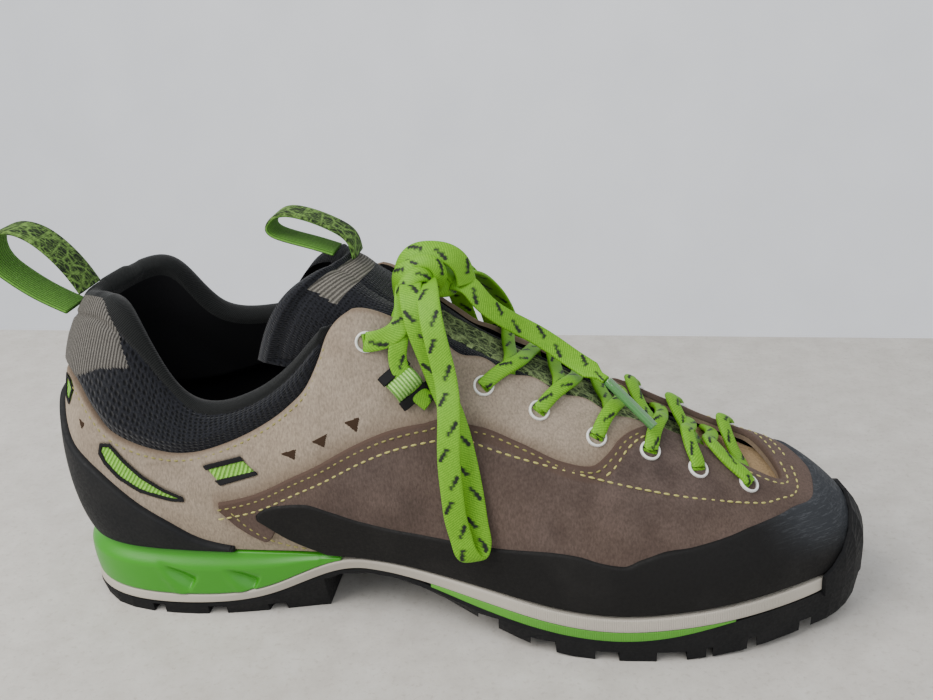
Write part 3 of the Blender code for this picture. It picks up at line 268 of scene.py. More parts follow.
# Free cord of the lace, as in the part's source.
KNOT_CENTRE = (0.1085, -0.004, 0.1245)
KNOT_SIZE = (22 * MM, 22 * MM, 14 * MM)
KNOT_TILT = 25
NEAR_LOOP_ROUTE = (
    (0.1056, -0.017, 0.1258), (0.1065, -0.0225, 0.1238), (0.1077, -0.027, 0.1203), (0.1092, -0.03, 0.115),
    (0.1115, -0.0312, 0.1082), (0.114, -0.0316, 0.101), (0.1169, -0.0335, 0.0938), (0.1204, -0.0364, 0.0866),
    (0.1231, -0.0394, 0.0795), (0.1252, -0.0425, 0.0722), (0.1269, -0.0452, 0.0648),
    (0.1282, -0.0472, 0.0569),
    (0.1293, -0.0486, 0.0493), (0.1299, -0.0494, 0.0432), (0.1283, -0.0498, 0.0388),
    (0.1262, -0.0496, 0.0404),
    (0.1243, -0.0493, 0.0458), (0.1226, -0.049, 0.0533), (0.1218, -0.0486, 0.0614), (0.1211, -0.0476, 0.0698),
    (0.1208, -0.046, 0.0778), (0.1209, -0.0436, 0.0853), (0.1206, -0.0404, 0.0923), (0.1194, -0.0368, 0.0991),
    (0.1176, -0.0345, 0.1063), (0.1157, -0.0325, 0.1135), (0.114, -0.029, 0.1195), (0.1126, -0.0235, 0.1238),
    (0.1112, -0.0172, 0.1246),
)
FAR_LOOP_ROUTE = (
    (0.1096, 0.01, 0.1238), (0.1104, 0.015, 0.123), (0.1116, 0.021, 0.1186), (0.1136, 0.028, 0.109),
    (0.116, 0.0342, 0.097), (0.1186, 0.0402, 0.084), (0.1206, 0.0456, 0.07), (0.123, 0.0494, 0.059),
    (0.1258, 0.0506, 0.056), (0.1284, 0.0492, 0.062), (0.1286, 0.045, 0.074), (0.1272, 0.0396, 0.087),
    (0.1248, 0.035, 0.099), (0.1218, 0.0292, 0.109), (0.1186, 0.022, 0.117), (0.1164, 0.016, 0.1208),
    (0.1152, 0.011, 0.1222),
)
NEAR_END_ROUTE = (
    (0.1217, -0.0068, 0.1219), (0.1242, -0.0082, 0.121), (0.1273, -0.0092, 0.1177), (0.1313, -0.009, 0.1133),
    (0.1362, -0.0075, 0.1091), (0.1412, -0.0055, 0.1054), (0.147, -0.0045, 0.1017), (0.1536, -0.005, 0.0974),
    (0.1606, -0.0075, 0.0933), (0.1662, -0.011, 0.0911), (0.171, -0.0148, 0.0895),
)
AGLET_ROUTE = (
    (0.1715, -0.0152, 0.0893), (0.1798, -0.0208, 0.0831), (0.1871, -0.025, 0.0771),
)
FAR_END_ROUTE = (
    (0.1225, 0.0075, 0.1205), (0.1235, 0.011, 0.1195), (0.125, 0.0165, 0.1165), (0.129, 0.0235, 0.109),
    (0.1325, 0.03, 0.099), (0.135, 0.035, 0.088), (0.1365, 0.0396, 0.077), (0.1372, 0.0456, 0.066),
)


def unit(a):
    """The same directions with length 1."""
    return a / np.linalg.norm(a, axis=-1, keepdims=True)


def along(points):
    """Distance from a route's first point to each of its points."""
    return np.concatenate([[0], np.cumsum(np.linalg.norm(np.diff(points, axis=0), axis=1))])


# Shape functions, as in the part's source

def curve_bends(x, y, closed):
    """Second derivatives of the smooth cubic through the points."""
    n = len(x)
    h = np.diff(x)
    a = np.zeros((n, n))
    b = np.zeros((n,) + y.shape[1:])
    for i in range(1, n - 1):
        a[i, i - 1], a[i, i], a[i, i + 1] = h[i - 1], 2 * (h[i - 1] + h[i]), h[i]
        b[i] = 6 * ((y[i + 1] - y[i]) / h[i] - (y[i] - y[i - 1]) / h[i - 1])
    if closed:
        a[0, 0], a[0, 1], a[0, n - 2] = 2 * (h[0] + h[-1]), h[0], h[-1]
        b[0] = 6 * ((y[1] - y[0]) / h[0] - (y[0] - y[n - 2]) / h[-1])
        a[n - 1, 0], a[n - 1, n - 1] = 1, -1
    else:
        a[0, 0] = a[n - 1, n - 1] = 1
    return np.linalg.solve(a, b)


class Smooth:
    """Smooth curve through table rows. A closed one repeats its first row at the end."""

    def __init__(self, x, y, closed=False):
        self.x = np.asarray(x, float)
        self.y = np.asarray(y, float)
        self.closed = closed
        self.bends = curve_bends(self.x, self.y, closed)

    def __call__(self, t):
        t = np.asarray(t, float)
        if self.closed:
            t = self.x[0] + np.mod(t - self.x[0], self.x[-1] - self.x[0])
        else:
            t = np.clip(t, self.x[0], self.x[-1])
        i = np.clip(np.searchsorted(self.x, t, side="right") - 1, 0, len(self.x) - 2)
        h = self.x[i + 1] - self.x[i]
        a = (self.x[i + 1] - t) / h
        b = (t - self.x[i]) / h
        if self.y.ndim > 1:
            h, a, b = h[..., None], a[..., None], b[..., None]
        bend = (a**3 - a) * self.bends[i] + (b**3 - b) * self.bends[i + 1]
        return a * self.y[i] + b * self.y[i + 1] + bend * h * h / 6


def line_through(table):
    """Panel line without overshoot: straight between rows, rounded off at each row."""
    x = np.array([row[0] for row in table])
    y = np.array([row[1] for row in table])
    slope = np.diff(y) / np.diff(x)
    tangent = np.concatenate([slope[:1], (slope[1:] + slope[:-1]) / 2, slope[-1:]])
    for i in range(1, len(x) - 1):
        if slope[i - 1] * slope[i] <= 0:
            tangent[i] = 0
        else:
            tangent[i] = np.sign(slope[i]) * min(abs(tangent[i]), 3 * abs(slope[i - 1]), 3 * abs(slope[i]))

    def value(s):
        s = np.clip(s, x[0], x[-1])
        i = np.clip(np.searchsorted(x, s, side="right") - 1, 0, len(x) - 2)
        h = x[i + 1] - x[i]
        t = (s - x[i]) / h
        rise = (2 * t**3 - 3 * t**2 + 1) * y[i] + (3 * t**2 - 2 * t**3) * y[i + 1]
        return rise + h * ((t**3 - 2 * t**2 + t) * tangent[i] + (t**3 - t**2) * tangent[i + 1])

    return value


def ring(inner_rows, outer_rows):
    """Closed curve in u: heel 0, inner side, toe 0.5, outer side, back to the heel at 1."""
    rows = [(r[0] / STATIONS / 2, r[1:]) for r in inner_rows]
    rows += [(1 - r[0] / STATIONS / 2, r[1:]) for r in reversed(outer_rows[:-1])]
    return Smooth([r[0] for r in rows], [r[1] for r in rows], closed=True)


def place(x, y, z):
    """A point from its shares of length, ball width and collar height."""
    return (LAST_BACK + x * LAST_LENGTH, y * BALL_WIDTH, z * COLLAR_HEIGHT)


def feather_ring():
    inner = [(s, LAST_BACK + x * LAST_LENGTH, i * BALL_WIDTH) for s, x, i, o in FEATHER]
    outer = [(s, LAST_BACK + x * LAST_LENGTH, o * BALL_WIDTH) for s, x, i, o in FEATHER]
    return ring(inner, outer)


def edge_ring():
    inner = [(row[0],) + place(*row[1:4]) for row in EDGE]
    outer = [(row[0],) + place(*row[4:7]) for row in EDGE]
    return ring(inner, outer)


def swell_ring():
    rows = [(row[0],) + tuple(c * COLLAR_HEIGHT for c in row[1:]) for row in SWELL]
    return ring(rows, rows)


FEATHER_RING = feather_ring()
EDGE_RING = edge_ring()
SWELL_RING = swell_ring()
LAYERS = Smooth([row[0] for row in SOLE], [[c * HEEL_STACK for c in row[1:]] for row in SOLE])
FLARE_CURVES = [line_through([(row[0], row[k] * FLARE) for row in FLARES]) for k in (1, 2, 3)]
WEDGE_FLARE, STRIP_TOP_FLARE, STRIP_BOTTOM_FLARE = FLARE_CURVES


def station(u):
    """Station of a place u round the shoe."""
    return 2 * STATIONS * np.minimum(np.mod(u, 1), 1 - np.mod(u, 1))


def layers(x):
    return np.maximum(LAYERS((np.asarray(x) - LAST_BACK) / LAST_LENGTH), 0)


def feather_height(x):
    return layers(x)[..., 0]


def wedge_bottom(x):
    heights = layers(x)
    return heights[..., 0] - heights[..., 1]


def strip_top(x):
    return wedge_bottom(x) - GAP


def strip_bottom(x):
    return strip_top(x) - layers(x)[..., 2]


def rubber_top(x):
    return strip_bottom(x) - GAP - layers(x)[..., 3]


def outline(u, out=0.0):
    """Plan outline of the last at the sole moved outwards, and its outward direction."""
    p = FEATHER_RING(u)
    d = FEATHER_RING(u + SMALL) - FEATHER_RING(u - SMALL)
    n = unit(np.stack([d[..., 1], -d[..., 0]], -1))
    return p + n * np.asarray(out)[..., None], n


def skin(u, v):
    """Outside of the upper: u round the shoe, v from the sole (0) to the opening's edge (1)."""
    u, v = np.broadcast_arrays(np.asarray(u, float), np.asarray(v, float))
    p, n = outline(u)
    foot = np.concatenate([p, feather_height(p[..., 0])[..., None]], -1)
    edge = EDGE_RING(u)
    swell = SWELL_RING(u)
    out = np.concatenate([n, np.zeros_like(n[..., :1])], -1)
    up = np.array([0, 0, 1.0])
    low = foot + out * swell[..., 0:1] + up * swell[..., 1:2]
    high = edge + out * swell[..., 2:3] - up * swell[..., 3:4]
    t = np.maximum(v, 0)[..., None]
    below = np.minimum(v, 0)[..., None] * COLLAR_HEIGHT
    curve = foot * (1 - t)**3 + 3 * low * t * (1 - t)**2 + 3 * high * t * t * (1 - t) + edge * t**3
    return curve + up * below


def skin_normal(u, v):
    v = np.clip(v, SMALL, 1 - SMALL)
    du = skin(u + SMALL, v) - skin(u - SMALL, v)
    dv = skin(u, v + SMALL) - skin(u, v - SMALL)
    return unit(np.cross(du, dv))


def skin_off(u, v, off):
    """The skin moved outwards. At the sole it moves level, so that edges stay on the feather line."""
    u, v = np.broadcast_arrays(np.asarray(u, float), np.asarray(v, float))
    n = skin_normal(u, v)
    n[..., 2] *= np.clip(v / 0.06, 0, 1)
    return skin(u, v) + unit(n) * np.asarray(off)[..., None]


# Lengths on the skin, for borders of an even width and for the grain's scale

ROUND_GRID = np.linspace(0, 1, 481)
UP_GRID = np.linspace(0, 1, 41)
SKIN_GRID = skin(ROUND_GRID[:, None], UP_GRID[None, :])
GIRTHS = np.linalg.norm(np.diff(SKIN_GRID, axis=1), axis=2).sum(1)
AROUND = along(SKIN_GRID[:, 24])


def girth(u):
    """Length of the skin from sole to edge."""
    return np.interp(np.mod(u, 1), ROUND_GRID, GIRTHS)


def around(u):
    """Signed distance round the shoe from the back of the heel, inner side positive."""
    u = np.mod(u, 1)
    return np.interp(u, ROUND_GRID, AROUND) - np.where(u > 0.5, AROUND[-1], 0)


def chart(u, v):
    return np.stack(np.broadcast_arrays(around(u), v * girth(u)), -1)


def side_place(side, s):
    u = np.asarray(s) / STATIONS / 2
    return u if side < 0 else 1 - u


def chart_polygon(side, corners):
    """Corners given at station and v, on the chart in metres."""
    s = np.array([c[0] for c in corners])
    v = np.array([c[1] for c in corners])
    return chart(side_place(side, s), v)


def polygon_distance(points, polygon):
    """Distance to a polygon's outline, negative inside."""
    best = np.full(points.shape[:-1], np.inf)
    inside = np.zeros(points.shape[:-1], bool)
    for a, b in zip(polygon, np.roll(polygon, -1, axis=0)):
        edge = b - a
        t = np.clip(((points - a) @ edge) / (edge @ edge), 0, 1)
        best = np.minimum(best, np.linalg.norm(points - a - t[..., None] * edge, axis=-1))
        crosses = (a[1] > points[..., 1]) != (b[1] > points[..., 1])
        span = b[1] - a[1] if b[1] != a[1] else 1e-12
        x = a[0] + (points[..., 1] - a[1]) * edge[0] / span
        inside ^= crosses & (points[..., 0] < x)
    return np.where(inside, -best, best)


def smoothstep(low, high, x):
    t = np.clip((x - low) / (high - low), 0, 1)
    return t * t * (3 - 2 * t)


# Materials

class Shader:
    """A Principled material and short calls for the nodes that feed it."""

    def __init__(self, name, colour, roughness, specular=0.5):
        self.mat = bpy.data.materials.new(name)
        self.mat.use_nodes = True
        self.tree = self.mat.node_tree
        self.bsdf = self.tree.nodes["Principled BSDF"]
        self.set("Base Color", (*colour, 1))
        self.set("Roughness", roughness)
        self.set("Specular IOR Level", specular)
        self.normal = None

    def set(self, name, value):
        self.bsdf.inputs[name].default_value = value

    def link(self, a, b):
        self.tree.links.new(a, b)

    def feed(self, output, name):
        self.link(output, self.bsdf.inputs[name])

    def coords(self, kind="Object", scale=(1, 1, 1), turn=0.0):
        tex = self.tree.nodes.new("ShaderNodeTexCoord")
        mapping = self.tree.nodes.new("ShaderNodeMapping")
        mapping.inputs["Scale"].default_value = scale
        mapping.inputs["Rotation"].default_value = (0, 0, turn)
        self.link(tex.outputs[kind], mapping.inputs["Vector"])
        return mapping.outputs["Vector"]

    def texture(self, kind, coords, **values):
        node = self.tree.nodes.new("ShaderNodeTex" + kind)
        for key, value in values.items():
            node.inputs[key.replace("_", " ")].default_value = value
        self.link(coords, node.inputs["Vector"])
        return node

    def noise(self, scale, detail=3, roughness=0.55, coords=None, distortion=0.0):
        return self.texture("Noise", coords or self.coords(), Scale=scale, Detail=detail, Roughness=roughness,
                            Distortion=distortion).outputs["Fac"]

    def voronoi(self, scale, feature, coords, random):
        node = self.texture("Voronoi", coords, Scale=scale, Randomness=random)
        node.feature = feature
        return node.outputs["Distance"]

    def wave(self, scale, distortion=0.0, detail=0.0, coords=None, detail_scale=1.0):
        return self.texture("Wave", coords, Scale=scale, Distortion=distortion, Detail=detail,
                            Detail_Scale=detail_scale).outputs["Fac"]

    def attribute(self, name):
        node = self.tree.nodes.new("ShaderNodeAttribute")
        node.attribute_name = name
        return node.outputs["Fac"]

    def ramp(self, fac, *stops):
        node = self.tree.nodes.new("ShaderNodeValToRGB")
        elements = node.color_ramp.elements
        while len(elements) < len(stops):
            elements.new(0.5)
        for element, (position, colour) in zip(elements, stops):
            element.position = position
            grey = colour if isinstance(colour, tuple) else (colour,) * 3
            element.color = (*grey, 1)
        self.link(fac, node.inputs["Fac"])
        return node.outputs["Color"]

    def mix(self, fac, a, b, blend="MIX"):
        node = self.tree.nodes.new("ShaderNodeMix")
        node.data_type = "RGBA"
        node.blend_type = blend
        for value, socket in ((fac, node.inputs[0]), (a, node.inputs[6]), (b, node.inputs[7])):
            self.give(value, socket)
        return node.outputs[2]

    def maths(self, operation, a, b=0.0):
        node = self.tree.nodes.new("ShaderNodeMath")
        node.operation = operation
        self.give(a, node.inputs[0])
        self.give(b, node.inputs[1])
        return node.outputs[0]

    def give(self, value, socket):
        """Link a socket to its source, or set it to a constant."""
        if isinstance(value, tuple):
            socket.default_value = (*value, 1)
        elif isinstance(value, (int, float)):
            socket.default_value = value
        else:
            self.link(value, socket)

    def bump(self, height, distance, strength=1.0):
        node = self.tree.nodes.new("ShaderNodeBump")
        node.inputs["Distance"].default_value = distance
        node.inputs["Strength"].default_value = strength
        self.link(height, node.inputs["Height"])
        if self.normal is not None:
            self.link(self.normal, node.inputs["Normal"])
        self.normal = node.outputs["Normal"]
        self.feed(self.normal, "Normal")


def suede(name, light, dark, tint, wear_and_sheen):
    """Napped leather: cloudy colour, fine fibres and a soft sheen."""
    sh = Shader(name, light, 0.95, specular=0.15)
    clouds = sh.noise(55, 5, 0.65)
    fibres = sh.noise(1500, 2, 0.6, sh.coords("Object", (1, 1, 0.45)))
    broad = sh.noise(14, 3, 0.5)
    colour = sh.mix(sh.ramp(clouds, (0.34, 0.0), (0.68, 1.0)), dark, light)
    colour = sh.mix(sh.ramp(broad, (0.42, 0.0), (0.64, 0.55)), colour, tint)
    colour = sh.mix(0.42, colour, sh.ramp(fibres, (0.32, 0.40), (0.66, 1.25)), "MULTIPLY")
    colour = sh.mix(sh.attribute("wear_and_sheen"), colour, wear_and_sheen)
    sh.feed(colour, "Base Color")
    sh.set("Sheen Weight", 0.25)
    sh.set("Sheen Roughness", 0.6)
    sh.set("Sheen Tint", (*[min(1, c * 2.2) for c in light], 1))
    sh.bump(fibres, 0.00035, 0.55)
    sh.bump(clouds, 0.0006, 0.35)
    return sh.mat


def rubber_material(name, colour, scuffs_and_sheen):
    sh = Shader(name, colour, 0.62, specular=0.16)
    fine = sh.noise(900, 3, 0.6)
    broad = sh.noise(40, 4, 0.6)
    dust = sh.ramp(broad, (0.50, 0.0), (0.80, 0.22))
    colour_out = sh.mix(dust, colour, (0.040, 0.038, 0.036))
    if scuffs_and_sheen:
        # Painted sheen on the toe: a bluish-grey tint and lighter bluish lines stand in for reflected light, laid
        # over a bump of fine scratches.
        lines = sh.noise(90, 6, 0.75, sh.coords("Object", (1.2, 3.0, 24)), 0.3)
        scratch_and_sheen = sh.ramp(lines, (0.52, 0.0), (0.62, 1.0))
        wear_and_sheen_mask = sh.maths("MULTIPLY", sh.attribute("wear_and_sheen"), scratch_and_sheen)
        colour_out = sh.mix(sh.attribute("wear_and_sheen"), colour_out, (0.032, 0.035, 0.040))
        colour_out = sh.mix(sh.maths("MULTIPLY", wear_and_sheen_mask, 0.55), colour_out, (0.095, 0.100, 0.108))
        sh.bump(lines, 0.00025, 0.5)
    sh.feed(colour_out, "Base Color")
    sh.feed(sh.ramp(fine, (0.3, 0.50), (0.7, 0.74)), "Roughness")
    sh.bump(fine, 0.00012, 0.5)
    return sh.mat


def foam_material(name, colour, roughness, ribbed=False):
    sh = Shader(name, colour, roughness, specular=0.45)
    broad = sh.noise(30, 3, 0.5)
    grain = sh.noise(1400, 2, 0.5)
    dirt = sh.ramp(broad, (0.45, 0.0), (0.78, 0.30))
    sh.feed(sh.mix(dirt, colour, tuple(c * 0.62 + 0.01 for c in colour)), "Base Color")
    if ribbed:
        ribs = sh.wave(500, coords=sh.coords("UV"))
        ribs = sh.maths("MULTIPLY", ribs, sh.attribute("wear_and_sheen"))
        sh.bump(ribs, 0.00025, 0.6)
    sh.bump(grain, 0.00005, 0.35)
    return sh.mat


def mesh_material(name, dark, light, cell, depth):
    """Spacer mesh: a hexagonal net of dark holes over a fuzzy ground."""
    sh = Shader(name, dark, 0.9, specular=0.12)
    holes = sh.voronoi(1 / cell, "F1", sh.coords("UV", (1, 1.25, 1)), 0.28)
    fuzz = sh.noise(1600, 3, 0.7)
    height = sh.ramp(holes, (0.16, 0.0), (0.46, 1.0))
    colour = sh.mix(height, dark, light)
    colour = sh.mix(0.7, colour, sh.ramp(fuzz, (0.34, 0.35), (0.68, 1.5)), "MULTIPLY")
    sh.feed(colour, "Base Color")
    sh.set("Sheen Weight", 0.12)
    sh.bump(height, depth, 0.8)
    sh.bump(fuzz, 0.00025, 0.5)
    return sh.mat


def knit_material(name, dark, light):
    """Smooth knitted binding."""
    sh = Shader(name, dark, 0.9, specular=0.12)
    weave = sh.wave(520, 1.2, 2, sh.coords("UV", (1, 1, 1), radians(35)))
    fuzz = sh.noise(1300, 3, 0.7)
    colour = sh.mix(sh.maths("MULTIPLY", weave, 0.6), dark, light)
    colour = sh.mix(0.5, colour, sh.ramp(fuzz, (0.34, 0.5), (0.68, 1.3)), "MULTIPLY")
    sh.feed(colour, "Base Color")
    sh.set("Sheen Weight", 0.15)
    sh.bump(weave, 0.0002, 0.6)
    sh.bump(fuzz, 0.0002, 0.4)
    return sh.mat


# Scale of a wave texture whose bands repeat once a metre
WAVE_TURNS = 0.3142


def ribbed_material(name, dark, light, pitch, turn, distortion):
    """Corded fabric: slanted ribs with gaps between them."""
    sh = Shader(name, light, 0.85, specular=0.2)
    ribs = sh.wave(WAVE_TURNS / pitch, distortion, 2, sh.coords("UV", (1, 1, 1), turn), 30)
    fuzz = sh.noise(1500, 3, 0.7)
    tone = sh.ramp(ribs, (0.18, 0.0), (0.55, 1.0))
    colour = sh.mix(tone, dark, light)
    colour = sh.mix(0.5, colour, sh.ramp(fuzz, (0.34, 0.55), (0.68, 1.3)), "MULTIPLY")
    sh.feed(colour, "Base Color")
    sh.bump(tone, 0.0003, 0.8)
    sh.bump(fuzz, 0.00015, 0.4)
    return sh.mat


def crackle_material(name, dark, light, cell):
    """Woven tape with a net of thin light lines on dark green."""
    sh = Shader(name, dark, 0.85, specular=0.2)
    stretched = sh.coords("UV", (1, 0.75, 1), radians(18))
    cells = sh.voronoi(1 / cell, "DISTANCE_TO_EDGE", stretched, 1.0)
    finer = sh.voronoi(2.1 / cell, "DISTANCE_TO_EDGE", sh.coords("UV", (0.7, 1.3, 1), radians(-25)), 1.0)
    weave = sh.voronoi(1250, "F1", sh.coords("UV"), 0.3)
    broken = sh.noise(380, 3, 0.7, sh.coords("UV"))
    coarse_net = sh.ramp(cells, (0.035, 1.0), (0.10, 0.0))
    net = sh.maths("MAXIMUM", coarse_net, sh.ramp(finer, (0.03, 0.75), (0.12, 0.0)))
    net = sh.maths("MULTIPLY", net, sh.ramp(broken, (0.36, 0.25), (0.60, 1.0)))
    specks = sh.ramp(sh.noise(620, 3, 0.7, sh.coords("UV")), (0.46, 0.0), (0.62, 0.55))
    colour = sh.mix(specks, dark, tuple(c * 0.45 for c in light))
    colour = sh.mix(net, colour, light)
    colour = sh.mix(0.55, colour, sh.ramp(weave, (0.1, 1.25), (0.6, 0.55)), "MULTIPLY")
    sh.feed(colour, "Base Color")
    sh.bump(weave, 0.0002, 0.7)
    return sh.mat


LACE_WEAVE = 420


def lace_material(name):
    """Flat braid: fine slanted weave, with the flecks held in an attribute."""
    sh = Shader(name, (0.20, 0.50, 0.012), 0.62, specular=0.3)
    right = sh.wave(LACE_WEAVE, 0.8, 1, sh.coords("UV", (1, 1, 1), radians(28)))
    cells = sh.voronoi(1150, "F1", sh.coords("UV", (1.0, 1.7, 1), radians(28)), 0.35)
    tone = sh.noise(45, 2, 0.5)
    weave = sh.maths("ADD", sh.maths("MULTIPLY", right, 0.5), sh.maths("MULTIPLY", cells, 0.9))
    colour = sh.mix(sh.ramp(weave, (0.20, 1.0), (0.85, 0.0)), (0.095, 0.275, 0.005), (0.205, 0.490, 0.014))
    colour = sh.mix(sh.ramp(tone, (0.4, 0.0), (0.7, 0.35)), colour, (0.17, 0.40, 0.024))
    colour = sh.mix(sh.attribute("fleck"), colour, (0.010, 0.014, 0.009))
    sh.feed(colour, "Base Color")
    sh.bump(weave, 0.00018, -0.8)
    return sh.mat


# Corded cloth: name, colour of the gaps and of the ribs, pitch, turn in degrees, waviness
RIBBED = {
    "grey": ("grey_patch", (0.050, 0.046, 0.041), (0.165, 0.154, 0.138), 0.0013, -14, 3.5),
    "band": ("tongue_band", (0.075, 0.070, 0.060), (0.200, 0.185, 0.160), 0.0011, 5, 3.5),
    "window": ("window_webbing", (0.12, 0.31, 0.03), (0.27, 0.58, 0.09), 0.0015, 20, 0.6),
    "keeper": ("keeper_webbing", (0.13, 0.33, 0.05), (0.36, 0.66, 0.17), 0.0012, 90, 2.2),
    "loop_in": ("loop_inside", (0.060, 0.155, 0.022), (0.125, 0.300, 0.045), 0.0012, 90, 0.8),
}
# Plain materials: name, colour, roughness, specular, then scale, detail, roughness, depth, strength of the bump
PLAIN = {
    "black": ("black_stitching", (0.010, 0.010, 0.011), 0.85, 0.2, 1500, 3, 0.7, 0.0002, 0.5),
    "thread": ("cream_thread", (0.43, 0.40, 0.13), 0.8, 0.2, 2500, 2, 0.6, 0.0001, 0.5),
    "olive": ("olive_thread", (0.27, 0.245, 0.085), 0.9, 0.1, 2500, 2, 0.6, 0.0001, 0.5),
    "hole": ("cut_shadow", (0.045, 0.028, 0.018), 0.95, 0.05, 1500, 3, 0.7, 0.0002, 0.5),
    "enamel": ("white_enamel", (0.74, 0.74, 0.71), 0.32, 0.6, 500, 2, 0.5, 0.00005, 0.4),
    "tip": ("clear_tip", (0.085, 0.27, 0.075), 0.14, 0.6, 300, 2, 0.5, 0.0001, 0.4),
    "lining": ("black_lining", (0.008, 0.008, 0.009), 0.95, 0.1, 1200, 3, 0.6, 0.0002, 0.5),
}


def make_materials():
    mats = {
        "beige": suede("beige_suede", (0.330, 0.272, 0.212), (0.245, 0.196, 0.148), (0.285, 0.222, 0.160),
                       (0.120, 0.080, 0.052)),
        "brown": suede("brown_suede", (0.125, 0.092, 0.080), (0.062, 0.045, 0.039), (0.098, 0.066, 0.050),
                       (0.078, 0.050, 0.038)),
        "tan": suede("tan_leather", (0.42, 0.29, 0.16), (0.3, 0.2, 0.11), (0.36, 0.25, 0.14), (0.2, 0.12, 0.07)),
        "rand": rubber_material("rand_rubber", (0.0095, 0.0090, 0.0088), True),
        "counter": rubber_material("counter_rubber", (0.0105, 0.0110, 0.0120), False),
        "lug": rubber_material("lug_rubber", (0.0080, 0.0083, 0.0092), False),
        "strip": foam_material("beige_strip", (0.47, 0.43, 0.365), 0.75, True),
        "wedge": foam_material("green_wedge", (0.036, 0.270, 0.008), 0.36),
        "layer": foam_material("green_layer", (0.085, 0.33, 0.022), 0.5, True),
        "mesh": mesh_material("collar_mesh", (0.0025, 0.003, 0.004), (0.0125, 0.0135, 0.0175), 0.0022, 0.0006),
        "knit": knit_material("rim_knit", (0.006, 0.007, 0.007), (0.018, 0.019, 0.019)),
        "fleece": mesh_material("tongue_fleece", (0.0035, 0.004, 0.0055), (0.014, 0.015, 0.019), 0.0012, 0.0003),
        "loop_out": crackle_material("loop_outside", (0.010, 0.018, 0.008), (0.17, 0.31, 0.065), 0.0055),
        "strip_cloth": crackle_material("tongue_cloth", (0.018, 0.028, 0.016), (0.33, 0.43, 0.17), 0.0052),
        "lace": lace_material("green_lace"),
    }
    for key, (name, dark, light, pitch, turn, waves) in RIBBED.items():
        mats[key] = ribbed_material(name, dark, light, pitch, radians(turn), waves)
    for key, (name, colour, roughness, specular, scale, detail, rough, depth, strength) in PLAIN.items():
        sh = Shader(name, colour, roughness, specular=specular)
        sh.bump(sh.noise(scale, detail, rough), depth, strength)
        mats[key] = sh.mat
        if key == "tip":
            sh.set("Transmission Weight", 0.25)
            sh.set("Coat Weight", 0.5)
    return mats


# Mesh making

def build(name, verts, faces, mats, face_mats=None, uv=None, attributes=None, smooth=True):
    """A mesh object of quads. One with a corner repeated becomes a triangle.
    uv and attributes hold one value per vertex."""
    mesh = bpy.data.meshes.new(name)
    verts = np.asarray(verts, np.float32)
    faces = np.asarray(faces, np.int32)
    own = faces != np.roll(faces, 1, axis=1)
    corners, totals = faces[own], own.sum(1).astype(np.int32)
    mesh.vertices.add(len(verts))
    mesh.vertices.foreach_set("co", verts.ravel())
    mesh.loops.add(len(corners))
    mesh.loops.foreach_set("vertex_index", corners)
    mesh.polygons.add(len(faces))
    mesh.polygons.foreach_set("loop_start", (np.cumsum(totals) - totals).astype(np.int32))
    mesh.polygons.foreach_set("loop_total", totals)
    mesh.update(calc_edges=True)
    mesh.validate()
    for mat in mats:
        mesh.materials.append(mat)
    if face_mats is not None:
        mesh.polygons.foreach_set("material_index", np.asarray(face_mats, np.int32))
    if uv is not None:
        layer = mesh.uv_layers.new(name="UVMap")
        layer.data.foreach_set("uv", np.asarray(uv, np.float32)[corners].ravel())
    for key, values in (attributes or {}).items():
        layer = mesh.attributes.new(key, "FLOAT", "POINT")
        layer.data.foreach_set("value", np.asarray(values, np.float32).ravel())
    if smooth:
        mesh.shade_smooth()
    obj = bpy.data.objects.new(name, mesh)
    bpy.context.scene.collection.objects.link(obj)
    return obj


def grid_faces(rows, cols, close_rows=False, close_cols=False, start=0):
    """Quads of a grid whose vertex number is start + row * cols + col."""
    i = np.arange(rows if close_rows else rows - 1)
    j = np.arange(cols if close_cols else cols - 1)
    i, j = np.meshgrid(i, j, indexing="ij")
    i2, j2 = (i + 1) % rows, (j + 1) % cols
    quads = np.stack([i * cols + j, i2 * cols + j, i2 * cols + j2, i * cols + j2], -1)
    return quads.reshape(-1, 4) + start


def tube_grid(name, section, mats, closed=False, uv=None, attributes=None):
    """Rows of closed sections joined into one solid, its two ends capped by fans of quads."""
    rows, cols = section.shape[:2]
    verts = section.reshape(-1, 3)
    faces = grid_faces(rows, cols, closed, True)
    if not closed:
        half = np.arange(cols // 2)
        faces = np.concatenate([faces, end_caps(rows, cols, half, cols - 1 - half)])
    obj = build(name, verts, faces, mats, None, uv, attributes)
    bm = bmesh.new()
    bm.from_mesh(obj.data)
    bmesh.ops.recalc_face_normals(bm, faces=bm.faces)
    bm.to_mesh(obj.data)
    bm.free()
    return obj


def dress(obj, node=None):
    """A visible piece rides the shoe. It may replace a solid, which it then hides."""
    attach(obj, "root")
    if node:
        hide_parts(node)
    return obj


def end_caps(rows, cols, first, second):
    """Quads that close both ends of a grid of sections, between two runs of its columns."""
    ring_ids = np.stack([first[:-1], first[1:], second[1:], second[:-1]], 1)
    return np.concatenate([ring_ids, (ring_ids + (rows - 1) * cols)[:, ::-1]])


BORDER_STEPS = np.array([0, 0.05, 0.18, 0.42, 0.70, 1.0])


def border_shares(span, edge, count):
    """Distances across a band of the given span, close together at its two borders."""
    edge = np.minimum(edge, span / 2.1)
    near = BORDER_STEPS[None, :] * edge[:, None]
    middle = np.linspace(0, 1, count)[1:-1]
    inner = edge[:, None] + (span - 2 * edge)[:, None] * middle[None, :]
    return np.concatenate([near, inner, span[:, None] - near[:, ::-1]], 1)


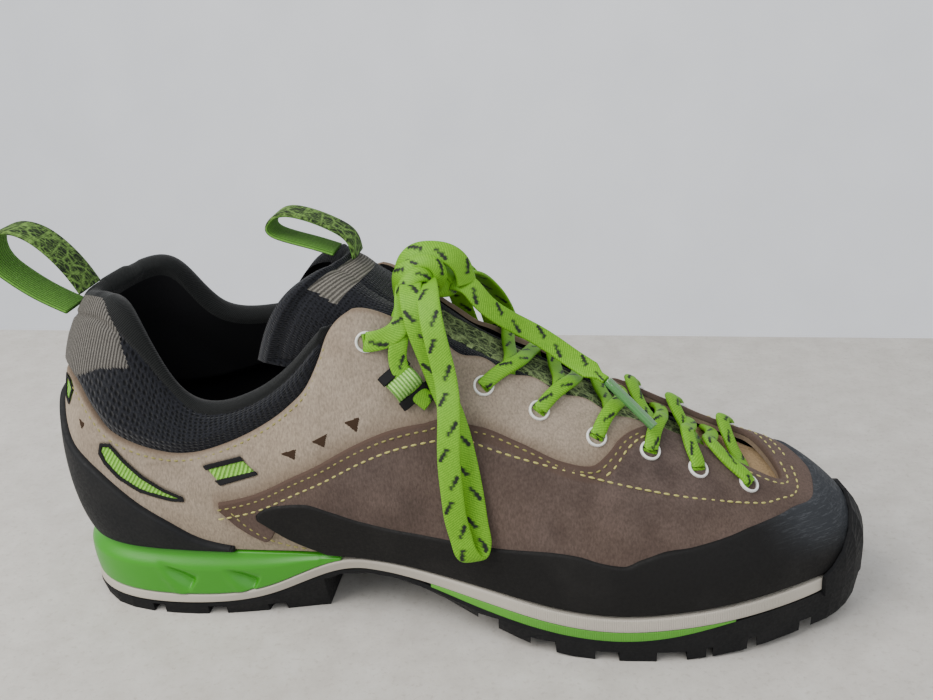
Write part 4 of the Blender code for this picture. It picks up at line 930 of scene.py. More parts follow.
def ply(name, us, low, high, count, thickness, base, edge, mats, closed=False, relief=None, wear_and_sheen_mask=None,
        depth=0.3 * MM):
    """A ply of leather or rubber on the skin, between two lines, with rounded borders."""
    s = station(us)
    g = girth(us)
    lo, hi = low(s) * g, high(s) * g
    across = border_shares(hi - lo, np.full(len(us), edge), count)
    v = (lo[:, None] + across) / g[:, None]
    u = np.repeat(us[:, None], v.shape[1], 1)
    away = np.minimum(across, (hi - lo)[:, None] - across)
    if not closed:
        run = along(skin(us, v[:, v.shape[1] // 2]))
        away = np.minimum(away, np.minimum(run, run[-1] - run)[:, None])
    lift = np.sqrt(1 - (1 - np.clip(away / edge, 0, 1))**2)
    off = base + thickness * lift
    if relief is not None:
        off = off + relief(u, v) * lift
    outside = skin_off(u, v, off)
    inside = skin_off(u[:, ::-1], v[:, ::-1], np.full_like(off, base - depth))
    few = [0, v.shape[1] // 3, 2 * v.shape[1] // 3, -1]
    section = np.concatenate([outside, inside[:, few]], 1)
    uvs = np.concatenate([chart(u, v), chart(u[:, ::-1], v[:, ::-1])[:, few]], 1)
    wear_and_sheen = np.zeros(section.shape[:2])
    if wear_and_sheen_mask is not None:
        wear_and_sheen[:, :v.shape[1]] = wear_and_sheen_mask(u, v, away)
    rows, cols = section.shape[:2]
    faces = grid_faces(rows, cols, closed, True)
    verts = section.reshape(-1, 3)
    if not closed:
        outer = np.arange(v.shape[1])
        inner = cols - 1 - np.round(outer * 3 / outer[-1]).astype(int)
        faces = np.concatenate([faces, end_caps(rows, cols, outer, inner)])
    kinds = None
    if len(mats) > 1:
        col = faces[:, :2].max(1) % cols
        kinds = (col >= v.shape[1]).astype(int)
    return build(name, verts, faces, mats, kinds, uvs.reshape(-1, 2), {"wear_and_sheen": wear_and_sheen})


def columns_between(first, last, step):
    """Places u from a station on one side, by way of the toe, to one on the other side."""
    count = int(round((last - first) / step)) + 1
    return np.linspace(first, last, count) / STATIONS / 2


def ring_columns(first, step=0.033):
    return columns_between(first, 2 * STATIONS - first, step)


def heel_columns(last, step=0.033):
    return columns_between(-last, last, step)


def dense_ends(us, reach):
    """More columns near both ends of an open band, for its rounded ends."""
    extra = BORDER_STEPS[1:-1] * reach / 0.024 / STATIONS / 2
    return np.concatenate([us[:1], us[0] + extra, us[1:-1], us[-1] - extra[::-1], us[-1:]])


# Upper

CREASES = (
    # station, v, half length in metres, half width, turn in degrees, depth
    (7.05, 0.77, 0.013, 0.0035, 60, 0.45 * MM),
    (7.35, 0.84, 0.012, 0.0040, 70, 0.40 * MM),
    (8.05, 0.74, 0.014, 0.0040, 55, 0.40 * MM),
    (8.75, 0.50, 0.020, 0.0050, 75, 0.55 * MM),
    (9.35, 0.48, 0.018, 0.0045, 80, 0.60 * MM),
    (9.05, 0.42, 0.022, 0.0050, 72, 0.40 * MM),
    (5.95, 0.74, 0.015, 0.0050, 35, 0.45 * MM),
    (5.30, 0.72, 0.014, 0.0050, 20, 0.35 * MM),
    (3.00, 0.50, 0.016, 0.0060, -25, 0.45 * MM),
    (6.45, 0.62, 0.015, 0.0050, 45, 0.35 * MM),
    (10.35, 0.62, 0.012, 0.0040, 75, 0.35 * MM),
)


def creases(u, v):
    """Soft troughs where the leather has bent, with a low ridge beside each."""
    total = np.zeros_like(u)
    here = chart(u, v)
    for side in (-1, 1):
        for s, cv, length, width, turn, depth in CREASES:
            centre = chart(np.array(side_place(side, s)), np.array(cv))
            a = radians(turn) * (1 if side < 0 else -1)
            d = here - centre
            along_crease = d[..., 0] * cos(a) + d[..., 1] * sin(a)
            over = -d[..., 0] * sin(a) + d[..., 1] * cos(a)
            over = over + 0.12 * along_crease**2 / length
            fade = np.exp(-(along_crease / length)**2)
            total -= depth * fade * np.exp(-(over / width)**2)
            total += 0.5 * depth * fade * np.exp(-((over - 1.9 * width) / width)**2)
    return total


def throat_edge(s):
    """The throat's edge: slightly scalloped between the eyelets."""
    wave = 0.5 - 0.5 * np.cos(2 * pi * (s - 7.72) / 0.66)
    fade = smoothstep(7.0, 7.6, s) * (1 - smoothstep(9.6, 10.0, s))
    return 1 - 0.030 * wave * fade


def window_relief(u, v):
    """Sunken beds of the webbing windows and the three-cornered cuts."""
    here = chart(u, v)
    total = np.zeros_like(u)
    for side in (-1, 1):
        for corners, depth in ((TEARDROP, 0.7), (BAR_WINDOW, 0.6), (HEEL_WINDOW, 0.6)):
            gap = polygon_distance(here, chart_polygon(side, corners))
            total -= depth * MM * (1 - smoothstep(-0.2 * MM, 1.2 * MM, gap))
    return total


def make_upper(mats):
    suede_top = line_through(SUEDE_TOP)
    us = np.linspace(0, 1, 721)[:-1]

    def top(s):
        return np.where(s >= EAR, throat_edge(s), suede_top(s))

    def wear_and_sheen_mask(u, v, away):
        s = station(u)
        edge = 1 - smoothstep(0.0, 2.2 * MM, away)
        edge = edge * np.where(v > 0.3, 1, 0)
        beside = np.abs(v - line_through(VAMP_TOP)(s)) * girth(u)
        rubbed = 0.45 * (1 - smoothstep(0, 7 * MM, beside)) * (s > 3.4) * (s < 9.9)
        return np.clip(0.75 * edge + rubbed, 0, 1)

    upper = ply("upper_suede", us, lambda s: 0 * s, top, 84, WALL, -WALL, 0.9 * MM,
                [mats["beige"], mats["lining"]], True, lambda u, v: creases(u, v) + window_relief(u, v), wear_and_sheen_mask, 0.0)
    dress(upper, "upper")


def make_vamp(mats):
    rand_top = line_through(RAND_TOP)
    vamp_top, vamp_bottom = line_through(VAMP_TOP), line_through(VAMP_BOTTOM)

    def low(s):
        covered = np.maximum(rand_top(s) - 0.05, 0)
        blend = smoothstep(4.0, 4.4, s)
        return vamp_bottom(s) * (1 - blend) + covered * blend

    def top(s):
        return np.where(s > 9.9, throat_edge(s), vamp_top(s))

    def wear_and_sheen_mask(u, v, away):
        s = station(u)
        from_top = (vamp_top(s) - v) * girth(u)
        border = (1 - smoothstep(5.2 * MM, 6.4 * MM, from_top)) * (s < 9.75)
        tip = (1 - smoothstep(3.6, 4.3, s)) * 0.5
        edge = (1 - smoothstep(0.0, 1.6 * MM, away)) * 0.6
        return np.clip(0.62 * border + tip + edge, 0, 1)

    us = dense_ends(ring_columns(3.5), 1.0 * MM)
    vamp = ply("vamp_suede", us, low, top, 66, OVERLAY_THICKNESS + PLY_GAP + 0.15 * MM, -0.15 * MM, 0.8 * MM,
               [mats["brown"]], False, creases, wear_and_sheen_mask)
    dress(vamp, "vamp_overlay")


def make_rubber(mats):
    rand_low, rand_top = line_through(RAND_BOTTOM), line_through(RAND_TOP)

    # Where the toe rubber gets its painted sheen, a bluish tint and light lines, together with its scratch bumps.
    def wear_and_sheen_mask(u, v, away):
        s = station(u)
        return smoothstep(10.3, 11.2, s) * smoothstep(0.12, 0.42, v) * 0.9

    us = dense_ends(ring_columns(3.98), 1.6 * MM)
    rand = ply("rand_rubber", us, rand_low, rand_top, 40, RAND_THICKNESS + PLY_GAP + 0.15 * MM, -0.15 * MM,
               1.5 * MM, [mats["rand"]], False, None, wear_and_sheen_mask)
    counter_top = line_through(COUNTER_TOP)
    us = dense_ends(heel_columns(3.6), 1.6 * MM)
    counter = ply("counter_rubber", us, lambda s: 0 * s, counter_top, 40,
                  COUNTER_THICKNESS + PLY_GAP + 0.15 * MM, -0.15 * MM, 1.5 * MM, [mats["counter"]], False)
    dress(rand, "rand")
    dress(counter, "heel_counter")


def make_collar(mats):
    """Padded ring: outer mesh, a crease, the knitted rim rolled over, and the inner lining."""
    suede_top = line_through(SUEDE_TOP)
    us = heel_columns(5.62, 0.022)
    s = station(us)
    g = girth(us)
    roll = COLLAR_PAD / 2
    start = suede_top(s) - 0.035
    finish = 1 - 0.8 * roll / g
    count_out, count_roll, count_in = 52, 10, 16
    share = np.linspace(0, 1, count_out)
    v_out = start[:, None] + (finish - start)[:, None] * share[None, :]
    u_out = np.repeat(us[:, None], count_out, 1)
    below_rim = (1 - v_out) * g[:, None]
    rise = (v_out - suede_top(s)[:, None]) * g[:, None]
    puff = smoothstep(-1.0 * MM, 5.0 * MM, rise)
    band = (11 - 6 * smoothstep(1.2, 2.8, s)) * MM
    crease = np.exp(-((below_rim - band[:, None]) / (1.1 * MM))**2)
    off_out = -1.9 * MM + (1.9 * MM + COLLAR_SWELL) * puff - 0.9 * MM * crease * puff
    here = chart(u_out, v_out)
    patch = np.min([polygon_distance(here, chart_polygon(side, HEEL_PATCH)) for side in (-1, 1)], 0)
    off_out = off_out + 0.45 * MM * (1 - smoothstep(-0.8 * MM, 0.3 * MM, patch))
    outside = skin_off(u_out, v_out, off_out)
    inner_low = start - 0.08
    v_in = finish[:, None] + (inner_low - finish)[:, None] * np.linspace(0, 1, count_in)[None, :]
    u_in = np.repeat(us[:, None], count_in, 1)
    depth_in = (finish[:, None] - v_in) * g[:, None]
    off_in = -COLLAR_PAD - 1.0 * MM * np.sin(pi * np.clip(depth_in / (30 * MM), 0, 1))
    inside = skin_off(u_in, v_in, off_in)
    a, b = outside[:, -1], inside[:, 0]
    centre, half = (a + b) / 2, (a - b) / 2
    up = unit(outside[:, -1] - outside[:, -3])
    size = np.linalg.norm(half, axis=1, keepdims=True)
    turns = np.linspace(0, pi, count_roll + 2)[1:-1]
    arcs = [centre + half * cos(t) + up * size * 0.8 * sin(t) for t in turns]
    rolled = np.stack(arcs, 1)
    section = np.concatenate([outside, rolled, inside], 1)
    distance = np.concatenate([[0], np.cumsum(np.linalg.norm(np.diff(section, axis=1), axis=2).mean(0))])
    uv = np.stack(np.broadcast_arrays(around(us)[:, None], distance[None, :]), -1)
    rows, cols = section.shape[:2]
    faces = grid_faces(rows, cols, False, True)
    corner = faces.min(1)
    row, col = corner // cols, corner % cols
    kind = np.full(len(faces), 1)
    is_out = col < count_out - 1
    kind[is_out & (below_rim[row, np.minimum(col, count_out - 1)] > band[row])] = 0
    kind[is_out & (patch[row, np.minimum(col, count_out - 1)] < 0)] = 2
    kind[col > count_out + count_roll] = 3
    half = np.arange(cols // 2)
    caps = end_caps(rows, cols, half, cols - 1 - half)
    faces = np.concatenate([faces, caps])
    kind = np.concatenate([kind, np.zeros(len(caps), int)])
    collar = build("collar_pad", section.reshape(-1, 3), faces,
                   [mats["mesh"], mats["knit"], mats["grey"], mats["lining"]], kind, uv.reshape(-1, 2))
    dress(collar, "collar")


# Sole

def level_ring(us, flare, height, inset=0.0, drop=0.0):
    p, _ = outline(us, flare(station(us)) - inset)
    z = height(p[:, 0]) - drop
    return np.concatenate([p, z[:, None]], 1)


def layer(name, first, last, wall_rows, mats, spacing):
    """A layer of the sole: rings of its side wall from top to bottom, closed above and below."""
    stations = np.linspace(first, last, int((last - first) / spacing) + 1)
    inner = stations / STATIONS / 2
    outer = 1 - inner[::-1]
    if last == STATIONS:
        outer = outer[1:]
    if first == 0:
        outer = outer[:-1]
    us = np.concatenate([inner, outer])
    rings = np.stack([row(us) for row in wall_rows])
    n = len(us)
    verts = rings.reshape(-1, 3)
    faces = grid_faces(len(rings), n, False, True)
    count = len(stations)
    left = np.arange(count)
    right = (n - left) % n if first == 0 else n - 1 - left
    faces = np.concatenate([faces, end_caps(len(rings), n, left, right)])
    drop = np.concatenate([[0], np.cumsum(np.linalg.norm(np.diff(rings, axis=0), axis=2).mean(1))])
    uv = np.stack(np.broadcast_arrays(around(us)[None, :], drop[:, None]), -1)
    s = station(us)
    wear_and_sheen = np.broadcast_to(smoothstep(6.8, 7.8, s) * (1 - smoothstep(10.2, 11.0, s)), rings.shape[:2])
    return build(name, verts, faces, mats, None, uv.reshape(-1, 2), {"wear_and_sheen": wear_and_sheen})


def rounded_rows(top_flare, top, bottom_flare, bottom, edge, middle=4):
    """Rings of a side wall with rounded upper and lower borders."""
    def corner(flare, height, t, sign):
        inset, drop = edge * (1 - sin(t * pi / 2)), sign * edge * (1 - cos(t * pi / 2))
        return lambda us: level_ring(us, flare, height, inset, drop)

    rows = [corner(top_flare, top, t, 1) for t in (0.0, 0.3, 0.6, 1.0)]

    def between(share):
        def flare(s):
            return top_flare(s) * (1 - share) + bottom_flare(s) * share

        def height(x):
            return (top(x) - edge) * (1 - share) + (bottom(x) + edge) * share
        return lambda us: level_ring(us, flare, height)

    rows += [between(k / middle) for k in range(1, middle)]
    return rows + [corner(bottom_flare, bottom, t, -1) for t in (1.0, 0.6, 0.3, 0.0)]


# Scoops in the wedge: x of the shallow end and the deep end, z of each, as measured in metres
SCOOPS = (((7.7 * MM, 21.7 * MM), (20.2 * MM, 13.7 * MM)), ((32.9 * MM, 20.3 * MM), (44.0 * MM, 13.9 * MM)))


def scoop_depth(x, z):
    """Slanted scoops that deepen towards their lower front end."""
    total = np.zeros_like(x)
    for (x0, z0), (x1, z1) in SCOOPS:
        run = np.hypot(x1 - x0, z1 - z0)
        dx, dz = (x1 - x0) / run, (z1 - z0) / run
        along_scoop = ((x - x0) * dx + (z - z0) * dz) / run
        over = -(x - x0) * dz + (z - z0) * dx
        half = (0.8 + 2.1 * np.clip(along_scoop, 0, 1)) * MM
        body = smoothstep(-0.1, 0.7, along_scoop) * (1 - smoothstep(0.96, 1.06, along_scoop))
        total += 2.4 * MM * body * np.exp(-(over / half)**2)
        total -= 0.5 * MM * body * np.exp(-((over + 2.4 * half) / half)**2)
    return total


def make_wedge(mats):
    rows = []
    shares = (np.linspace(0, 0.16, 7), np.linspace(0.20, 0.94, 30), np.linspace(0.96, 1.0, 4))
    for share in np.concatenate(shares):
        def wall(us, share=share):
            s = station(us)
            p, n = outline(us, 0 * us)
            x = p[:, 0]
            top, bottom = feather_height(x) - 0.1 * MM, wedge_bottom(x)
            z = top * (1 - share) + bottom * share
            height = np.maximum(top - bottom, 1e-5)
            heel = 1 - smoothstep(1.2, 3.2, s)
            belly = smoothstep(0.04, 0.40 - 0.05 * heel, share)
            flare = WEDGE_FLARE(s) * (1 - belly) + STRIP_TOP_FLARE(s) * belly
            flare = flare + (0.6 * MM * heel + 0.2 * MM) * np.sin(pi * np.clip(share, 0, 1)) * (height > 4 * MM)
            edge_round = 0.5 * MM * (1 - np.sqrt(1 - (1 - min(share / 0.03, 1))**2))
            edge_round += 0.6 * MM * (1 - np.sqrt(1 - (1 - min((1 - share) / 0.05, 1))**2))
            flare = flare - edge_round - scoop_depth(x, z) * (s < 4)
            q = p + n * flare[:, None]
            return np.concatenate([q, z[:, None]], 1)
        rows.append(wall)
    wedge = layer("green_wedge", 0, 5.0, rows, [mats["wedge"]], 0.02)
    dress(wedge, "heel_wedge")


def make_sole(mats):
    make_wedge(mats)
    rows = rounded_rows(STRIP_TOP_FLARE, strip_top, STRIP_BOTTOM_FLARE, strip_bottom, 0.5 * MM)
    strip = layer("beige_strip", 0, STATIONS, rows, [mats["strip"]], 0.03)
    rows = rounded_rows(STRIP_BOTTOM_FLARE, lambda x: strip_bottom(x) - 0.05 * MM, STRIP_BOTTOM_FLARE,
                        lambda x: np.minimum(rubber_top(x) + 0.05 * MM, strip_bottom(x) - 0.35 * MM), 0.15 * MM)
    thin = layer("thin_green_layer", 6.2, 9.9, rows, [mats["layer"]], 0.03)
    dress(strip, "midsole")
    dress(thin, "forefoot_layer")
    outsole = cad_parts["outsole"]
    outsole.data.materials.clear()
    outsole.data.materials.append(mats["lug"])
    bevel = outsole.modifiers.new("soft edges", "BEVEL")
    bevel.width = 0.4 * MM
    bevel.segments = 2
    bevel.limit_method = "ANGLE"
    bevel.angle_limit = radians(40)
    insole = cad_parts["insole"]
    insole.data.materials.clear()
    insole.data.materials.append(mats["lining"])


# Stitches

def line_on_skin(side, rows, lift, count=400):
    """Points and normals along a panel line given at station and v."""
    line = line_through(rows)
    s = np.linspace(rows[0][0], rows[-1][0], count)
    u = side_place(side, s)
    v = line(s)
    return skin_off(u, v, np.full_like(u, lift)), skin_normal(u, v)


def stitch_mesh(name, lines, length, gap, width, mat, sink=0.25):
    """Short capsule stitches along lines of (points, normals), joined in one mesh."""
    rings = ((0.0, 0.05), (0.12, 0.7), (0.35, 1.0), (0.65, 1.0), (0.88, 0.7), (1.0, 0.05))
    sides = 6
    verts, faces = [], []
    for points, normals in lines:
        reach = along(points)
        count = int(reach[-1] / (length + gap))
        for k in range(count):
            t0 = (k + 0.5) * (length + gap) - length / 2
            stops = np.array([t0 + r * length for r, _ in rings])
            centre = np.stack([np.interp(stops, reach, points[:, c]) for c in range(3)], 1)
            normal = np.stack([np.interp(stops, reach, normals[:, c]) for c in range(3)], 1)
            ahead = unit(centre[-1] - centre[0])
            base = len(verts)
            for i, (r, size) in enumerate(rings):
                n = unit(normal[i] - ahead * (normal[i] @ ahead))
                b = np.cross(ahead, n)
                arch = (4 * r * (1 - r) - 0.45) * width * 0.45
                for j in range(sides):
                    a = 2 * pi * j / sides
                    verts.append(centre[i] + b * (cos(a) * size * width / 2)
                                 + n * (sin(a) * size * width * 0.4 + arch - sink * width))
            for i in range(len(rings) - 1):
                for j in range(sides):
                    j2 = (j + 1) % sides
                    faces.append([base + i * sides + j, base + i * sides + j2,
                                  base + (i + 1) * sides + j2, base + (i + 1) * sides + j])
            for i in (0, len(rings) - 1):
                ids = [base + i * sides + j for j in range(sides)]
                order = (ids[::-1] if i == 0 else ids)
                faces.append([order[0], order[1], order[2], order[3]])
                faces.append([order[0], order[3], order[4], order[5]])
    return build(name, verts, np.array(faces)[:, ::-1], [mat])


def shifted(rows, reach):
    """A line below another by a distance."""
    return tuple((s, v - reach / float(girth(np.array(side_place(-1, s))))) for s, v in rows)


def make_stitches(mats):
    cream, olive = [], []
    vamp_rows = [row for row in VAMP_TOP if row[0] < 9.75]
    on_vamp = PLY_GAP + OVERLAY_THICKNESS
    for side in (-1, 1):
        cream.append(line_on_skin(side, shifted(vamp_rows, 6.2 * MM)[:7] + ((7.25, 0.638),), on_vamp))
        olive.append(line_on_skin(side, shifted(vamp_rows, 2.4 * MM), on_vamp))
        cream.append(line_on_skin(side, TURNED_SEAM, on_vamp))
        cream.append(line_on_skin(side, LOWER_SEAM, on_vamp))
        tip = ((3.66, 0.315), (3.85, 0.205), (4.05, 0.125), (4.30, 0.075), (4.6, 0.045))
        olive.append(line_on_skin(side, tip, on_vamp))
        suede_rows = [row for row in SUEDE_TOP if row[0] > 0.4]
        olive.append(line_on_skin(side, shifted(suede_rows[:-1], 2.6 * MM), 0.05 * MM))
    toe = ((10.6, 0.915), (11.1, 0.90), (11.55, 0.93), (12.0, 0.945))
    for side in (-1, 1):
        cream.append(line_on_skin(side, toe, on_vamp))
    dress(stitch_mesh("cream_stitches", cream, 2.5 * MM, 0.7 * MM, 0.75 * MM, mats["thread"]))
    dress(stitch_mesh("olive_stitches", olive, 1.9 * MM, 1.0 * MM, 0.65 * MM, mats["olive"]))


# Windows and cuts

def inlay(name, side, corners, lift, mat, grow, hollow=None, step=0.35 * MM):
    """A thin patch over a polygon on the skin. It keeps the cells that the polygon covers."""
    polygon = chart_polygon(side, corners)
    s = np.array([c[0] for c in corners])
    v = np.array([c[1] for c in corners])
    s_step = step / 24 / MM
    v_step = step / 110 / MM
    ss = np.arange(s.min() - 0.12, s.max() + 0.12, s_step)
    vs = np.arange(v.min() - 0.03, v.max() + 0.03, v_step)
    sg, vg = np.meshgrid(ss, vs, indexing="ij")
    ug = side_place(side, sg)
    here = chart(ug, vg)
    gap = polygon_distance(here, polygon)
    points = skin_off(ug, vg, lift(gap))
    quads = grid_faces(*sg.shape)
    keep = gap.reshape(-1)[quads].mean(1) < grow
    if hollow is not None:
        keep &= ~hollow(here).reshape(-1)[quads].all(1)
    quads = quads[keep]
    used, back = np.unique(quads, return_inverse=True)
    obj = build(name, points.reshape(-1, 3)[used], back.reshape(-1, 4), [mat], None, here.reshape(-1, 2)[used])
    solid = obj.modifiers.new("cloth thickness", "SOLIDIFY")
    solid.thickness = 0.4 * MM
    solid.offset = -1
    dress(obj)


def make_windows(mats):
    for side, label in ((-1, "inner"), (1, "outer")):
        windows = (("teardrop", TEARDROP, 0.75), ("bar", BAR_WINDOW, 1.1), ("heel", HEEL_WINDOW, 0.7))
        for title, corners, edge in windows:
            inlay(f"{title}_window_{label}", side, corners,
                  lambda gap: -0.35 * MM + 0.25 * MM * smoothstep(-3 * MM, 0, gap), mats["window"], -0.4 * MM)
            polygon = chart_polygon(side, corners)

            def frame_hollow(here, polygon=polygon, edge=edge, title=title):
                gap = polygon_distance(here, polygon)
                if title == "bar":
                    run = polygon[1] - polygon[0]
                    over = np.array([-run[1], run[0]]) / np.linalg.norm(run)
                    half = abs((polygon[2] + polygon[3] - polygon[0] - polygon[1]) @ over) / 4
                    return np.abs((here - polygon.mean(0)) @ over) < half - 1.5 * MM
                return gap < -edge * MM

            inlay(f"{title}_frame_{label}", side, corners,
                  lambda gap: 0.05 * MM + 0.35 * MM * np.exp(-(gap / (1.1 * MM))**2), mats["black"], 0.25 * MM,
                  frame_hollow)
        for k, corners in enumerate(CUTS):
            inlay(f"cut_{label}_{k + 1}", side, corners, lambda gap: 0.12 * MM + 0 * gap, mats["hole"], 0.0)


# Tongue

def across(points, count):
    """Smooth row of points through a section's own points."""
    points = np.array(points)
    t = along(points)
    return Smooth(t, points)(np.linspace(0, t[-1], count))


def tongue_free_rows(count):
    rows = []
    for wx, wy, wz, sx, sy, sz, mx, mz in TONGUE_TOP:
        middle = place(mx, 0, mz)
        inner = [place(wx, -wy, wz), place(sx, -sy, sz)]
        outer = [place(sx, sy, sz), place(wx, wy, wz)]
        rows.append(across(inner + [middle] + outer, count))
    return rows


def tongue_row(s, count):
    """A section of the tongue's outside where the upper covers its sides."""
    low, lift = (line_through([(row[0], row[k]) for row in TONGUE_UNDER])(s) for k in (1, 2))
    under = -(WALL + TONGUE_CLEARANCE)
    u = s / STATIONS / 2
    sides = (low, 0.5 + low / 2, 0.98)
    inner = [skin_off(u, v, under) for v in sides]
    outer = [skin_off(1 - u, v, under) for v in reversed(sides)]
    middle = (inner[-1] + outer[0]) / 2 + np.array([0, 0, lift * COLLAR_HEIGHT])
    return across(inner + [middle] + outer, count)


def tongue_toe_rows(last, count):
    """The tongue's toe end, tucked under the toe end of the throat."""
    s = np.linspace(TONGUE_TUCK, 2 * STATIONS - TONGUE_TUCK, count)
    end = skin_off(s / STATIONS / 2, TONGUE_TUCK_V, -(WALL + TONGUE_CLEARANCE))
    return [(last + end) / 2 - np.array([0, 0, 0.3 * TONGUE_CLEARANCE]), end]


TONGUE_COLUMNS = 121
STRIP_HALF = 11.5 * MM


def make_tongue(mats):
    count = TONGUE_COLUMNS
    rows = tongue_free_rows(count) + [tongue_row(s, count) for s in np.linspace(6.6, 11.1, 14)]
    rows += tongue_toe_rows(rows[-1], count)
    rows = np.array(rows)
    reach = along(rows[:, count // 2])
    fine = np.linspace(0, reach[-1], 260)
    outside = np.empty((len(fine), count, 3))
    for c in range(3):
        for j in range(count):
            outside[:, j, c] = np.interp(fine, reach, rows[:, j, c])
    kernel = np.array([1, 4, 6, 4, 1]) / 16
    for _ in range(14):
        padded = np.concatenate([outside[:1]] * 2 + [outside] + [outside[-1:]] * 2)
        smooth = sum(kernel[k] * padded[k:k + len(outside)] for k in range(5))
        outside[1:-1] = smooth[1:-1]
    n = unit(np.cross(np.gradient(outside, axis=1), np.gradient(outside, axis=0)))
    if n[100, count // 2, 2] < 0:
        n = -n
    down = fine[:, None]
    spans = np.linalg.norm(np.diff(outside, axis=1), axis=2)
    widths = np.concatenate([np.zeros((len(fine), 1)), np.cumsum(spans, 1)], 1)
    from_middle = widths - widths[:, count // 2][:, None]
    edge = np.minimum(widths, widths[:, -1:] - widths)
    edge = np.minimum(edge, down + 0 * edge)
    free = 1 - smoothstep(40 * MM, 60 * MM, down)
    beside = np.abs(from_middle) - STRIP_HALF
    puff = 0.9 * MM * smoothstep(0.4 * MM, 5 * MM, beside) * free
    piping = 1.1 * MM * np.exp(-((edge - 2.0 * MM) / (0.9 * MM))**2) * free
    crease = -0.7 * MM * np.exp(-((edge - 4.2 * MM) / (0.9 * MM))**2) * free
    seam = -0.6 * MM * np.exp(-(beside / (0.7 * MM))**2)
    rounding = -1.6 * MM * (1 - np.sqrt(np.clip(1 - (1 - np.clip(edge / (2.2 * MM), 0, 1))**2, 0, 1)))
    outside = outside + n * (puff + piping + crease + seam + rounding)[..., None]
    pad_rows = np.interp(fine, reach, np.arange(len(reach))) / TONGUE_PAD_ROWS
    thick = TONGUE_THICKNESS + np.clip(1 - pad_rows, 0, 1) * (TONGUE_PAD - TONGUE_THICKNESS)
    lower = outside - n * (thick[:, None, None] * 0.92)
    pick = np.linspace(count - 1, 0, 31).astype(int)
    lower = lower[:, pick]
    section = np.concatenate([outside, lower], 1)
    uv_out = np.stack(np.broadcast_arrays(down, from_middle), -1)
    uv = np.concatenate([uv_out, uv_out[:, pick]], 1)
    total, cols = section.shape[:2]
    faces = grid_faces(total, cols, False, True)
    row, col = faces.min(1) // cols, faces.min(1) % cols
    kind = np.full(len(faces), 4)
    on_top = col < count - 1
    c = np.minimum(col, count - 1)
    kind[on_top] = 0
    in_strip = on_top & (np.abs(from_middle[row, c]) < STRIP_HALF)
    kind[in_strip & (fine[row] > 24 * MM)] = 1
    kind[in_strip & (fine[row] <= 24 * MM)] = 0
    band = on_top & (np.abs(from_middle[row, c]) < 25 * MM) & (fine[row] > 3 * MM) & (fine[row] < 11 * MM)
    kind[band] = 2
    kind[on_top & (fine[row] > reach[-1] - 34 * MM)] = 3
    top = np.arange(count)
    caps = end_caps(total, cols, top, cols - 1 - np.round(top * (len(pick) - 1) / (count - 1)).astype(int))
    faces = np.concatenate([faces, caps])
    kind = np.concatenate([kind, np.zeros(len(caps), int)])
    tongue = build("tongue_pad", section.reshape(-1, 3), faces,
                   [mats["fleece"], mats["strip_cloth"], mats["band"], mats["tan"], mats["lining"]], kind,
                   uv.reshape(-1, 2))
    dress(tongue, "tongue")


# Webbing loops and keepers

def square_to(ahead, a):
    """Directions a made square to the run of a route."""
    return unit(a - ahead * (a * ahead).sum(1, keepdims=True))


def tape(name, points, width, thickness, side, mats, count=160):
    """Woven tape along a route: material 0 on its upper face, material 1 on its lower face."""
    points = np.array(points, float)
    reach = along(points)
    at = np.linspace(0, reach[-1], count)
    centre = Smooth(reach, points)(at)
    ahead = unit(np.gradient(centre, axis=0))
    side = square_to(ahead, np.broadcast_to(np.asarray(side, float), ahead.shape))
    face = np.cross(ahead, side)
    half = 13
    y = np.linspace(-1, 1, half)
    lift = np.sqrt(np.clip(1 - np.abs(y)**10, 0, 1))
    profile = np.concatenate([np.stack([y, lift], 1), np.stack([y, -lift], 1)[-2:0:-1]])
    section = (centre[:, None] + side[:, None] * (profile[None, :, :1] * width / 2)
               + face[:, None] * (profile[None, :, 1:] * thickness / 2))
    cols = section.shape[1]
    uv = np.stack(np.broadcast_arrays(at[:, None], profile[None, :, 0] * width / 2), -1)
    faces = grid_faces(count, cols, False, True)
    col = faces.min(1) % cols
    wraps = (faces.max(1) - faces.min(1)) > cols + 1
    kind = ((col >= half - 1) | wraps).astype(int)
    top_ids = np.arange(half)
    caps = end_caps(count, cols, top_ids, -top_ids % cols)
    faces = np.concatenate([faces, caps])
    kind = np.concatenate([kind, np.zeros(len(caps), int)])
    return build(name, section.reshape(-1, 3), faces, mats, kind, uv.reshape(-1, 2))


def above_skin(side, s, v, lift):
    u = np.array(side_place(side, s))
    return skin(u, np.array(v)) + skin_normal(u, np.array(v)) * lift


